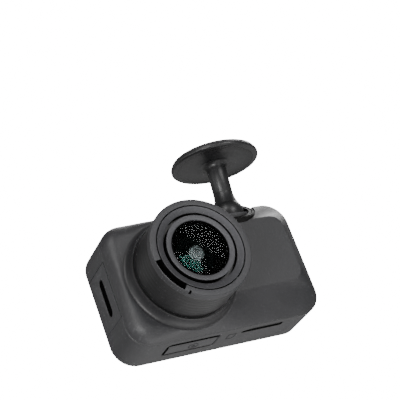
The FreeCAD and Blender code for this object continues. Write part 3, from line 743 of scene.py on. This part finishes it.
def bezel_outer(materials):
    rim = 0.15
    outline = [(RING_OUTER_BORE, FACE_Y), (BARREL_RADIUS - rim, FACE_Y), (BARREL_RADIUS, FACE_Y + rim)]
    outline += [(BARREL_RADIUS, BARREL_FRONT_Y), (RING_OUTER_BORE, BARREL_FRONT_Y)]
    ring = lathe("face_ring_outer", soften(outline, 0.12), lens_matrix(), 384)
    clear = FACE_Y - 0.5
    slot = sector("slot_cutter", SLOT_RADII, (clear, SLOT_BACK_Y), SLOT_ANGLES)
    notch = sector("notch_cutter", NOTCH_RADII, (clear, FACE_Y + NOTCH_DEPTH), NOTCH_ANGLES)
    cut(ring, slot, notch)
    finish_piece(ring, "camera", "bezel_satin", materials, "bezel_outer", look="ring_dark")
    # painted shade: the slot's walls below the ring's front face get the black material
    wall = SLOT_RADII[1] - 0.05
    skin = FACE_Y + 0.11
    paint_shade_walls(ring, materials["baffle_black"], lambda radius, y: radius < wall and y > skin)


def sector(name, radii, heights, degrees, steps=40):
    """Closed part of a ring between two angles, used as a cutter."""
    inner, outer = radii
    near, far = heights
    section = ((inner, near), (outer, near), (outer, far), (inner, far))
    points = []
    for n in range(steps + 1):
        angle = math.radians(degrees[0] + (degrees[1] - degrees[0]) * n / steps)
        for radius, height in section:
            points.append((radius * math.cos(angle), -radius * math.sin(angle), height))
    obj = piece(name, points, strip_faces(steps + 1, False), lens_matrix())
    merge_close(obj)
    return obj


def bezel_rings(materials):
    inside, outside = RING_MIDDLE
    middle = [(inside, FACE_Y + FACE_STEP), (outside, FACE_Y)]
    middle += [(outside, BARREL_FRONT_Y), (inside, BARREL_FRONT_Y)]
    ring = lathe("face_ring_middle", soften(middle, 0.1), lens_matrix(), 384)
    finish_piece(ring, "camera", "bezel_satin", materials, "bezel_middle")
    slope = FACE_STEP / (outside - inside)
    # painted shade: the middle ring's walls, deeper than its sloped front face, get the black material
    black = materials["baffle_black"]
    paint_shade_walls(ring, black, lambda radius, y: y > FACE_Y + slope * (RING_MIDDLE[1] - radius) + 0.16)
    inside, outside = RING_INNER
    inner = [(inside, FACE_Y + FACE_STEP), (inside + 0.15, FACE_Y + 0.3), (outside, FACE_Y + 0.2)]
    inner += [(outside, BARREL_FRONT_Y), (inside, BARREL_FRONT_Y)]
    ring = lathe("face_ring_inner", soften(inner, 0.1), lens_matrix(), 384)
    finish_piece(ring, "camera", "bezel_satin", materials, "bezel_inner")
    # painted shade on the inner ring's walls below its front face
    paint_shade_walls(ring, black, lambda radius, y: y > FACE_Y + 0.42)


def barrel(materials):
    """Barrel with fine turned rings along its side."""
    outline = [(BARREL_BORE, BARREL_BACK_Y), (BARREL_BORE, BARREL_FRONT_Y)]
    outline += [(BARREL_RADIUS - 0.05, BARREL_FRONT_Y), (BARREL_RADIUS, BARREL_FRONT_Y + 0.1)]
    for n in range(GROOVE_COUNT):
        y = GROOVE_START_Y + n * GROOVE_PITCH
        outline.append((BARREL_RADIUS, y))
        outline.append((BARREL_RADIUS - GROOVE_DEPTH, y + GROOVE_WIDTH / 2))
        outline.append((BARREL_RADIUS, y + GROOVE_WIDTH))
    outline += [(BARREL_RADIUS, BARREL_FOOT_Y), (BARREL_NECK, BARREL_FOOT_Y), (BARREL_NECK, BARREL_BACK_Y)]
    obj = lathe("barrel_skin", outline, lens_matrix(), 320, 50)
    finish_piece(obj, "camera", "barrel_plastic", materials, "lens_barrel")


def glass(materials):
    """Cover glass with a slight dome and a hair-fine step at its rim."""
    rim = 0.02
    edge = GLASS_RADIUS + rim
    outline = [(0, GLASS_BACK_Y), (edge, GLASS_BACK_Y), (edge, GLASS_FRONT_Y + rim)]
    steps = 20
    for n in range(steps, -1, -1):
        radius = GLASS_RADIUS * n / steps
        outline.append((radius, GLASS_FRONT_Y - GLASS_DOME * (1 - (radius / GLASS_RADIUS) ** 2)))
    obj = lathe("cover_glass", outline, lens_matrix(), 256, 60)
    finish_piece(obj, "camera", "lens_glass", materials, "front_glass")


def baffle(materials):
    """Smooth black funnel between the glass and the front element."""
    outline = [BAFFLE_FUNNEL[-1], (BAFFLE_OUTER, BARREL_FRONT_Y), (BAFFLE_OUTER, BAFFLE_BACK_Y)]
    outline += [(BAFFLE_HOLE, BAFFLE_BACK_Y), (BAFFLE_HOLE, BAFFLE_BACK_Y - BAFFLE_LIP)]
    outline += BAFFLE_FUNNEL[:-1]
    obj = lathe("baffle_skin", soften(outline, 0.15), lens_matrix(), 192)
    finish_piece(obj, "camera", "black_plastic", materials, "lens_baffle", look="baffle_black")


def dome_height(radius):
    """Height of the front element's dome at a radius, lens axis millimetres."""
    return ELEMENT_FRONT_Y + ELEMENT_CURVE - math.sqrt(ELEMENT_CURVE**2 - radius**2)


def eye(materials):
    """Front element: a coated dome with the small grey pupil of the lens group in its middle."""
    back = ELEMENT_FRONT_Y + ELEMENT_THICKNESS
    outline = [(0, back), (ELEMENT_RADIUS, back)]
    steps = 40
    for n in range(steps + 1):
        radius = ELEMENT_RADIUS * (1 - n / steps)
        outline.append((radius, dome_height(radius)))
    obj = lathe("front_element_skin", outline, lens_matrix(), 160, 50)
    finish_piece(obj, "camera", "coated_glass", materials, "front_element", look="element_coat")
    back = ELEMENT_FRONT_Y + PUPIL_DEPTH
    outline = [(0, back), (PUPIL_RADIUS, back)]
    steps = 16
    for n in range(steps + 1):
        radius = PUPIL_RADIUS * (1 - n / steps)
        ripple = PUPIL_RIPPLE * math.cos(5 * math.pi * radius / PUPIL_RADIUS)
        outline.append((radius, dome_height(radius) - 0.02 - ripple))
    pupil = lathe("pupil_skin", outline, lens_matrix(), 96, 50)
    finish_piece(pupil, "camera", "coated_glass", materials, look="pupil_grey")


# ---- case back ----


def rear_shell(materials):
    """Columns round the case's middle: seam lip, side wall, rear edge, back, and inner back."""
    lip = SEAM_LIP
    lip_start = SEAM_GAP + 0.08
    back = BAND_DEPTH
    edge_steps = 8
    rows = 0
    points = []
    for c in range(REAR_COLUMNS):
        angle = TURN * c / REAR_COLUMNS
        column = [(WALL, SEAM_GAP), (RABBET + 0.02, SEAM_GAP), (RABBET, lip_start), (lip, lip_start)]
        column += [(lip * 0.3, SEAM_GAP + lip), (0, SEAM_GAP + lip + 0.06)]
        column += [(0, 3.0), (0, 7.0), (0, back - REAR_EDGE - 0.6)]
        for n in range(edge_steps + 1):
            swing = math.pi / 2 * n / edge_steps
            column.append((REAR_EDGE * (1 - math.cos(swing)), back - REAR_EDGE * (1 - math.sin(swing))))
        column = [(centre_reach(angle, inset), y) for inset, y in column]
        edge = column[-1][0]
        column += [(edge * share, back) for share in (0.75, 0.4, 0)]
        inner = centre_reach(angle, WALL)
        column += [(inner * share, back - WALL) for share in (0, 0.5, 1)]
        rows = len(column)
        for radius, y in column:
            points.append((radius * math.cos(angle), y, radius * math.sin(angle)))
    shell = piece("rear_shell_skin", points, grid_faces(REAR_COLUMNS, rows), case_matrix(), 30)
    merge_close(shell, 30)
    combine(shell, hump(), "UNION")
    cut(shell, *rear_cutters(), sharp=30)
    finish_piece(shell, "camera", "case_plastic", materials, "rear_shell")
    # painted shade on the walls inside the key window and the card slit
    paint_shade_black(shell, materials["baffle_black"], inside_floor_opening())


def inside_floor_opening():
    """A test for the upright walls of the key window and the card slit, below their chamfers: these walls get
    painted shade.
    """
    to_case = case_matrix().inverted()
    reach = 0.4
    shallow, deep = 0.22, 3.2
    below_chamfer = 0.9
    level = 0.9

    def is_shaded(spot, normal):
        x, y, z = to_case @ spot
        depth = z + CASE_HALF_HEIGHT
        if abs(normal.z) > level or not shallow < depth < deep:
            return False
        in_key_x = BUTTON_X[0] - reach < x < BUTTON_X[1] + reach
        in_key_y = BUTTON_Y[0] - reach < y < BUTTON_Y[1] + reach
        in_slit = abs(x - CARD_X) < SLIT_HALF[0] + 0.35 and abs(y - CARD_Y) < SLIT_HALF[1] + 0.35
        return in_slit or (in_key_x and in_key_y and depth > below_chamfer)

    return is_shaded


def hump():
    """Round swelling behind the socket, kept behind the seam and above the case's top wall."""
    top = BALL_DEPTH - 0.7
    outline = [(0, HUMP_FOOT), (HUMP_RADIUS, HUMP_FOOT), (HUMP_RADIUS, top - 0.5)]
    outline.append((HUMP_RADIUS - 0.15, top - 0.12))
    outline += [(HUMP_RADIUS - 0.5, top), (0, top)]
    body = lathe("hump", outline, ball_matrix(mouth_axis()), 256)
    far = 30
    xs = (-5, 28)
    in_front = block("hump_in_front", xs, (-20, SEAM_GAP), (-far, far))
    below = block("hump_below", xs, (-20, far), (-far, CASE_HALF_HEIGHT - 1.0))
    cut(body, in_front, below)
    return body


def block(name, xs, ys, zs):
    """Closed box in case millimetres, used as a cutter or as a plain start for a plate."""
    points = [(x, y, z) for x in xs for y in ys for z in zs]
    faces = [(0, 1, 3, 2), (4, 6, 7, 5), (0, 4, 5, 1), (2, 3, 7, 6), (0, 2, 6, 4), (1, 5, 7, 3)]
    return piece(name, points, faces, case_matrix())


def pocket(name, middle, half, corner, levels, frame_of):
    """Closed body with a round-cornered section. levels holds (depth, grow) pairs along it."""
    points = []
    around = 12
    for depth, grow in levels:
        for quarter in range(4):
            for n in range(around + 1):
                angle = math.pi / 2 * (quarter + n / around)
                sign_a = 1 if quarter in (0, 3) else -1
                sign_b = 1 if quarter in (0, 1) else -1
                radius = corner + grow
                a = middle[0] + sign_a * (half[0] - corner) + radius * math.cos(angle)
                b = middle[1] + sign_b * (half[1] - corner) + radius * math.sin(angle)
                points.append(frame_of(a, b, depth))
    ring = 4 * (around + 1)
    total = len(levels) * ring
    caps = [tuple(range(ring)), tuple(range(total - 1, total - ring - 1, -1))]
    obj = piece(name, points, tube_faces(len(levels), ring) + caps, case_matrix())
    merge_close(obj)
    return obj


def on_floor(a, b, depth):
    return (a, b, -CASE_HALF_HEIGHT + depth)


def on_left(a, b, depth):
    return (-CASE_HALF_WIDTH + depth, a, b)


def on_back(a, b, depth):
    return (a, BAND_DEPTH - depth, b)


def middle_of(pair):
    return (pair[0] + pair[1]) / 2


def half_of(pair):
    return (pair[1] - pair[0]) / 2


def window(name, xs, ys, corner, levels, frame_of):
    middle = (middle_of(xs), middle_of(ys))
    return pocket(name, middle, (half_of(xs), half_of(ys)), corner, levels, frame_of)


def rear_cutters():
    """All that is taken out of the rear shell. The mouths that show have a small chamfer."""
    mouth = [(-1, 0.18), (0, 0.18), (0.16, 0)]
    relief_levels = [(-1, 0.35), (0, 0.35), (RELIEF_DEPTH, -0.2)]
    relief = window("relief", RELIEF_X, RELIEF_Y, RELIEF_CORNER, relief_levels, on_floor)
    key = window("key_window", BUTTON_X, BUTTON_Y, BUTTON_CORNER, mouth + [(2.6, 0)], on_floor)
    slit_levels = [(-0.5, SLIT_CHAMFER), (RELIEF_DEPTH, SLIT_CHAMFER), (RELIEF_DEPTH + 0.3, 0), (3, 0)]
    slit = pocket("card_slit", (CARD_X, CARD_Y), SLIT_HALF, SLIT_CORNER, slit_levels, on_floor)
    port = window("port_cutter", PORT_Y, PORT_Z, 1.34, [(0.3, 0.15), (5, 0.15)], on_left)
    insert_x = (-30, -CASE_HALF_WIDTH + INSERT_DEPTH)
    insert = block("insert_cutter", insert_x, (-1, BAND_DEPTH - INSERT_REAR_RIM), INSERT_Z)
    holes = [socket_room(0.1), relief, key, slit, insert, port]
    back = [(-1, 0.12), (0, 0.12), (0.12, 0), (2.5, 0)]
    x, z = SOUND_HOLE_PLACE
    for n in range(SOUND_HOLES):
        holes.append(round_hole("sound_hole", (x + SOUND_HOLE_PITCH * n, z), SOUND_HOLE_RADIUS, back))
    holes.append(round_hole("light_hole", LIGHT_PLACE, LIGHT_RADIUS, back))
    return holes


def round_hole(name, middle, radius, levels):
    """Cutter for a hole in the back, as a pocket whose corners are nearly its whole half width."""
    return pocket(name, middle, (radius, radius), radius - 0.01, levels, on_back)


def side_insert(materials):
    """Panel let into the left wall, with a hairline round it and the inlet slot through it."""
    ys = (SEAM_GAP + SEAM_LIP + INSERT_GAP, BAND_DEPTH - INSERT_REAR_RIM - INSERT_GAP)
    zs = (INSERT_Z[0] + INSERT_GAP, INSERT_Z[1] - INSERT_GAP)
    levels = [(1.2, 0), (0.12, 0), (0.03, -0.03), (0.0, -0.12)]
    panel = window("side_insert", ys, zs, 0.25, levels, on_left)
    slot_mouth = [(-1, 0.14), (0, 0.14), (0.14, 0), (3, 0)]
    cut(panel, window("slot_cutter", PORT_Y, PORT_Z, 1.33, slot_mouth, on_left))
    finish_piece(panel, "camera", "panel_plastic", materials, "side_port_panel")
    # painted shade: the walls of the hairline and of the slot get the black material
    skin = case_origin().x - CASE_HALF_WIDTH * MM + 0.1 * MM
    paint_shade_black(panel, materials["baffle_black"], lambda spot, normal: spot.x > skin and abs(normal.x) < 0.5)


def inlet(materials):
    """Metal mouth of the inlet with its contact tongue, its metal painted near black as painted shade for the
    inside of the port.
    """
    middle = (middle_of(PORT_Y), middle_of(PORT_Z))
    start = INLET_START
    end = start + INLET_LENGTH
    shell = pocket("inlet_shell", middle, INLET_HALF, 1.2, [(start, 0), (end, 0)], on_left)
    levels = [(start - 1, 0), (end - 0.8, 0)]
    hollow = pocket("inlet_hollow", middle, INLET_HOLLOW_HALF, 1.0, levels, on_left)
    cut(shell, hollow)
    levels = [(start + 1, 0), (end - 0.4, 0)]
    tongue = pocket("inlet_tongue", middle, INLET_TONGUE_HALF, 0.2, levels, on_left)
    combine(shell, tongue, "UNION")
    merge_close(shell)
    # painted shade: the plated metal is drawn near black
    finish_piece(shell, "camera", "plated_steel", materials, "power_receptacle", look="inlet_dark")


def event_key(materials):
    """Long key: a sloped front face, a flat main face, and a hidden flange.

    The profile holds (y, depth) pairs from the inner front edge round to the inner back edge.
    """
    xs = (BUTTON_X[0] + KEY_LEFT_INSET, BUTTON_X[1] - KEY_RIGHT_INSET)
    low = KEY_FACE_DEPTH
    profile = [(4.25, KEY_BACK_DEPTH), (4.25, 0.45), (4.35, 0.36), (5.0, low)]
    profile += [(8.5, low), (8.62, 0.3), (8.65, KEY_BACK_DEPTH)]
    ends = 10
    points = []
    for n in range(ends + 1):
        share = n / ends
        x = xs[0] + (xs[1] - xs[0]) * share
        for y, depth in profile:
            points.append((x, y, -CASE_HALF_HEIGHT + depth))
    ring = len(profile)
    caps = [tuple(range(ring - 1, -1, -1)), tuple(range(ring * ends, ring * (ends + 1)))]
    key = piece("event_key", points, tube_faces(ends + 1, ring) + caps, case_matrix())
    merge_close(key)
    round_edges(key, 0.12)
    flange_x = (BUTTON_X[0] - FLANGE_OVERLAP, BUTTON_X[1] + FLANGE_OVERLAP)
    flange = plate("event_key_flange", flange_x, FLANGE_Y, FLANGE_DEPTHS)
    # painted shade: the hidden flange, seen through the gap round the key, is drawn black
    finish_piece(flange, "button", "button_plastic", materials, look="baffle_black")
    finish_piece(key, "button", "button_plastic", materials, "event_button")
    # painted shade on the key's front wall and left end wall
    steep = -0.85
    paint_shade_black(key, materials["baffle_black"], lambda spot, normal: min(normal.x, normal.y) < steep)


def plate(name, xs, ys, depths):
    obj = block(name, xs, ys, [-CASE_HALF_HEIGHT + d for d in depths])
    merge_close(obj)
    round_edges(obj, 0.1, 2)
    return obj


def round_edges(obj, size, steps=4):
    """Applies a bevel of a size in millimetres to the mesh's sharp edges."""
    change = obj.modifiers.new("edges", "BEVEL")
    change.width = size * MM
    change.segments = steps
    change.limit_method = "ANGLE"
    change.angle_limit = math.radians(20)
    change.harden_normals = False
    apply_modifiers(obj)
    merge_close(obj, 30)


# ---- marks ----


def band_mark(name, path, width, height, place):
    """Thin raised line along a closed path. place(a, b, depth) gives a point in millimetres."""
    count = len(path)
    points = []
    for n in range(count):
        here = Vector(path[n])
        along = (Vector(path[(n + 1) % count]) - Vector(path[n - 1])).normalized()
        side = Vector((-along.y, along.x)) * width / 2
        low = -0.03
        for offset, depth in ((-1, low), (-0.6, height), (0.6, height), (1, low)):
            spot = here + side * offset
            points.append(place(spot.x, spot.y, -depth))
    obj = piece(name, points, strip_faces(count, True), case_matrix())
    merge_close(obj)
    return obj


def circle_path(middle, radius, steps=32):
    path = []
    for n in range(steps):
        angle = math.radians(360 * n / steps)
        path.append((middle[0] + radius * math.cos(angle), middle[1] + radius * math.sin(angle)))
    return path


def on_key(a, b, depth):
    return (a, b, -CASE_HALF_HEIGHT + KEY_FACE_DEPTH + depth)


def icons(materials):
    middle = (-8.1, 6.5)
    raised = 0.07
    ring = band_mark("key_icon_ring", circle_path(middle, 1.25), 0.3, raised, on_key)
    finish_piece(ring, "button", "button_plastic", materials, look="ink")
    dot = band_mark("key_icon_dot", circle_path(middle, 0.35, steps=20), 0.4, raised, on_key)
    finish_piece(dot, "button", "button_plastic", materials, look="ink")
    card = [(0.6, 3.4), (2.6, 3.4), (2.6, 5.4), (2.1, 6.0), (0.6, 6.0)]
    mark = band_mark("card_icon", card, 0.26, 0.06, on_floor)
    finish_piece(mark, "camera", "case_plastic", materials, look="ink")


# ---- ball mount ----


def socket(materials):
    outline = [(0, -CUP_BOWL)]
    steps = 24
    low = BALL_DEPTH - 1.2
    limit = math.acos(-low / CUP_BOWL)
    for n in range(1, steps + 1):
        angle = limit * n / steps
        outline.append((CUP_BOWL * math.sin(angle), -CUP_BOWL * math.cos(angle)))
    outline += [(CUP_RADIUS, low), (CUP_RADIUS, BALL_DEPTH - 0.3), (CUP_RADIUS - 0.35, BALL_DEPTH - 0.02)]
    outline += [(CUP_RADIUS - 0.7, BALL_DEPTH - 0.05), (5.9, BALL_DEPTH - 0.8)]
    rim = math.asin((BALL_DEPTH - 0.8) / CUP_SEAT)
    outline.append((CUP_SEAT * math.cos(rim), BALL_DEPTH - 0.8))
    for n in range(1, steps + 1):
        angle = rim + (-math.pi / 2 - rim) * n / steps
        outline.append((max(CUP_SEAT * math.cos(angle), 0), CUP_SEAT * math.sin(angle)))
    cup = lathe("socket_cup_skin", outline, ball_matrix(mouth_axis()), 256, 40)
    finish_piece(cup, "camera", "black_plastic", materials, "socket_cup")
    inside, outside = TRIM_RADII
    foot, top = TRIM_HEIGHTS
    section = soften([(inside, top), (inside, foot), (outside, foot), (outside, top)], 0.12)
    trim = lathe("socket_ring_skin", section, ball_matrix(mouth_axis()), 256)
    finish_piece(trim, "camera", "panel_plastic", materials, "socket_ring", look="black_plastic")


def liner(materials):
    """Half shell between ball and cup, facing midway between the mouth and the arm."""
    arm = arm_axis()
    facing = (mouth_axis() + arm).normalized()
    inside, outside = LINER_RADII
    drop = 0.02
    outline = []
    steps = 24
    for n in range(steps + 1):
        angle = -math.pi / 2 * (1 - n / steps)
        outline.append((outside * math.cos(angle), outside * math.sin(angle) - drop * (n == steps)))
    for n in range(steps + 1):
        angle = -math.pi / 2 * n / steps
        outline.append((inside * math.cos(angle), inside * math.sin(angle) - drop * (n == 0)))
    obj = lathe("socket_liner_skin", outline, ball_matrix(facing), 256, 40)
    finish_piece(obj, "liner", "liner_plastic", materials, "socket_liner")


def ball_and_arm(materials):
    """Ball with its flared neck, screw room below and spigot hole above, then the arm on top."""
    arm = arm_axis()
    spigot = SPIGOT_RADIUS
    room = SCREW_ROOM_RADIUS
    outline = [(0, -2.0), (spigot, -2.0), (spigot, -2.05), (room, -2.05)]
    outline.append((room, -math.sqrt(BALL_RADIUS**2 - room**2)))
    low = math.asin(-outline[-1][1] / BALL_RADIUS)
    high = math.asin(NECK_LOW / BALL_RADIUS)
    steps = 30
    for n in range(1, steps + 1):
        angle = -low + (high + low) * n / steps
        outline.append((BALL_RADIUS * math.cos(angle), BALL_RADIUS * math.sin(angle)))
    for n in range(1, steps + 1):
        share = n / steps
        radius = ARM_RADIUS + NECK_FLARE * (1 - math.sin(math.pi / 2 * share))
        outline.append((radius, NECK_LOW + (NECK_TOP - NECK_LOW) * share))
    outline += [(spigot, NECK_TOP), (spigot, 0), (0, 0)]
    ball = lathe("ball_skin", outline, ball_matrix(arm), 160, 50)
    finish_piece(ball, "ball", "mount_plastic", materials, "mount_ball")
    foot = NECK_TOP + 0.04
    outline = [(0, foot), (ARM_RADIUS - 0.04, foot), (ARM_RADIUS, foot + 0.04)]
    steps = 16
    for n in range(steps + 1):
        swing = math.pi / 2 * n / steps
        radius = ARM_RADIUS + ARM_FLARE * (1 - math.cos(swing))
        outline.append((radius, DISC_HEIGHT - ARM_FLARE_HEIGHT * (1 - math.sin(swing))))
    outline += [(ARM_RADIUS + ARM_FLARE - 0.02, DISC_HEIGHT + 0.02), (0, DISC_HEIGHT + 0.02)]
    post = lathe("arm_skin", outline, ball_matrix(arm), 160, 50)
    finish_piece(post, "mount", "mount_plastic", materials, "mount_arm")


def disc(materials):
    """Round plate: rolled rim, smooth shallow dish underneath, flat top."""
    arm = arm_axis()
    top = DISC_HEIGHT + DISC_THICKNESS
    inner = ARM_RADIUS + ARM_FLARE - 0.1
    roll = 0.75
    rim = DISC_RADIUS - 2 * roll
    foot = DISC_HEIGHT + 0.03
    outline = [(0, top), (0, foot), (inner, foot)]
    steps = 24
    for n in range(1, steps + 1):
        share = n / steps
        radius = inner + (rim - inner) * share
        outline.append((radius, foot + 0.5 * math.sin(math.pi * share) ** 0.8))
    steps = 12
    for n in range(1, steps + 1):
        swing = math.pi * n / steps
        radius = DISC_RADIUS - roll - roll * math.cos(swing)
        rise = 0.62 * (1 - math.sin(swing) ** 0.7) if n > steps / 2 else 0
        outline.append((radius, DISC_HEIGHT + rise))
    outline += [(DISC_RADIUS, DISC_HEIGHT + 0.85), (DISC_RADIUS - 0.08, top - 0.12)]
    outline.append((DISC_RADIUS - 0.3, top))
    skin = lathe("disc_skin", outline, ball_matrix(arm), 320, 45)
    finish_piece(skin, "mount", "mount_plastic", materials, "mount_disc", "disc_screw")
    high = top + PAD_THICKNESS
    outline = [(0, top), (PAD_RADIUS - 0.1, top), (PAD_RADIUS, top + 0.1), (PAD_RADIUS, high - 0.05)]
    outline += [(PAD_RADIUS - 0.06, high), (0, high)]
    pad = lathe("pad_skin", outline, ball_matrix(arm), 256)
    finish_piece(pad, "mount", "adhesive_foam", materials, "adhesive_pad")


def add_stage():
    bpy.ops.mesh.primitive_plane_add(size=FLOOR_SIZE, location=(0, 0, FLOOR_HEIGHT))
    floor = bpy.context.object
    floor.name = "floor"
    material, tree, shader = new_material("floor_paint")
    tone = ramp(tree, noise(tree, 3.0), [(0.3, (0.80, 0.80, 0.80)), (0.7, (0.84, 0.84, 0.84))])
    tree.links.new(tone, shader.inputs["Base Color"])
    shader.inputs["Roughness"].default_value = 0.8
    floor.data.materials.append(material)


def area_light(name, place, size, power):
    """Square lamp at a place in metres from the case, turned to face it."""
    data = bpy.data.lights.new(name, "AREA")
    data.shape = "RECTANGLE"
    data.size = size
    data.size_y = size
    data.energy = power
    obj = bpy.data.objects.new(name, data)
    obj.visible_camera = False
    obj.location = case_origin() + Vector(place)
    obj.rotation_euler = (case_origin() - obj.location).to_track_quat("-Z", "Y").to_euler()
    bpy.context.scene.collection.objects.link(obj)


def add_lights():
    world = bpy.data.worlds.new("studio")
    bpy.context.scene.world = world
    world.use_nodes = True
    tree = world.node_tree
    background = tree.nodes["Background"]
    background.inputs["Color"].default_value = (1, 1, 1, 1)
    background.inputs["Strength"].default_value = WORLD_LIGHT
    seen = tree.nodes.new("ShaderNodeBackground")
    seen.inputs["Color"].default_value = (1, 1, 1, 1)
    seen.inputs["Strength"].default_value = BACKDROP_LIGHT
    path = tree.nodes.new("ShaderNodeLightPath")
    mix = tree.nodes.new("ShaderNodeMixShader")
    tree.links.new(path.outputs["Is Camera Ray"], mix.inputs[0])
    tree.links.new(background.outputs[0], mix.inputs[1])
    tree.links.new(seen.outputs[0], mix.inputs[2])
    tree.links.new(mix.outputs[0], tree.nodes["World Output"].inputs["Surface"])
    for name, place, size, power in LIGHTS:
        area_light(name, place, size, power)


def add_camera():
    yaw = math.radians(CAMERA_YAW)
    pitch = math.radians(CAMERA_PITCH)
    roll = math.radians(CAMERA_ROLL)
    flat = math.cos(pitch)
    forward = Vector((math.sin(yaw) * flat, math.cos(yaw) * flat, math.sin(pitch)))
    level = forward.cross(Vector((0, 0, 1))).normalized()
    upright = level.cross(forward)
    right = level * math.cos(roll) + upright * math.sin(roll)
    up = forward.cross(right) * -1
    turn = Matrix((right, up, -forward)).transposed()
    data = bpy.data.cameras.new("view")
    data.lens = CAMERA_LENS
    data.sensor_width = CAMERA_SENSOR
    data.clip_start = CAMERA_NEAR
    camera = bpy.data.objects.new("view", data)
    camera.matrix_world = Matrix.Translation(case_matrix() @ Vector(CAMERA_PLACE)) @ turn.to_4x4()
    bpy.context.scene.collection.objects.link(camera)
    bpy.context.scene.camera = camera


def main():
    materials = make_materials()
    paint_cad(materials)
    add_camera()
    add_lights()
    add_stage()
    case = (front_shell, rear_shell, side_insert, inlet, event_key, icons)
    lens = (collar, barrel, bezel_outer, bezel_rings, glass, baffle, eye)
    mount = (socket, liner, ball_and_arm, disc)
    for make in case + lens + mount:
        make(materials)


main()
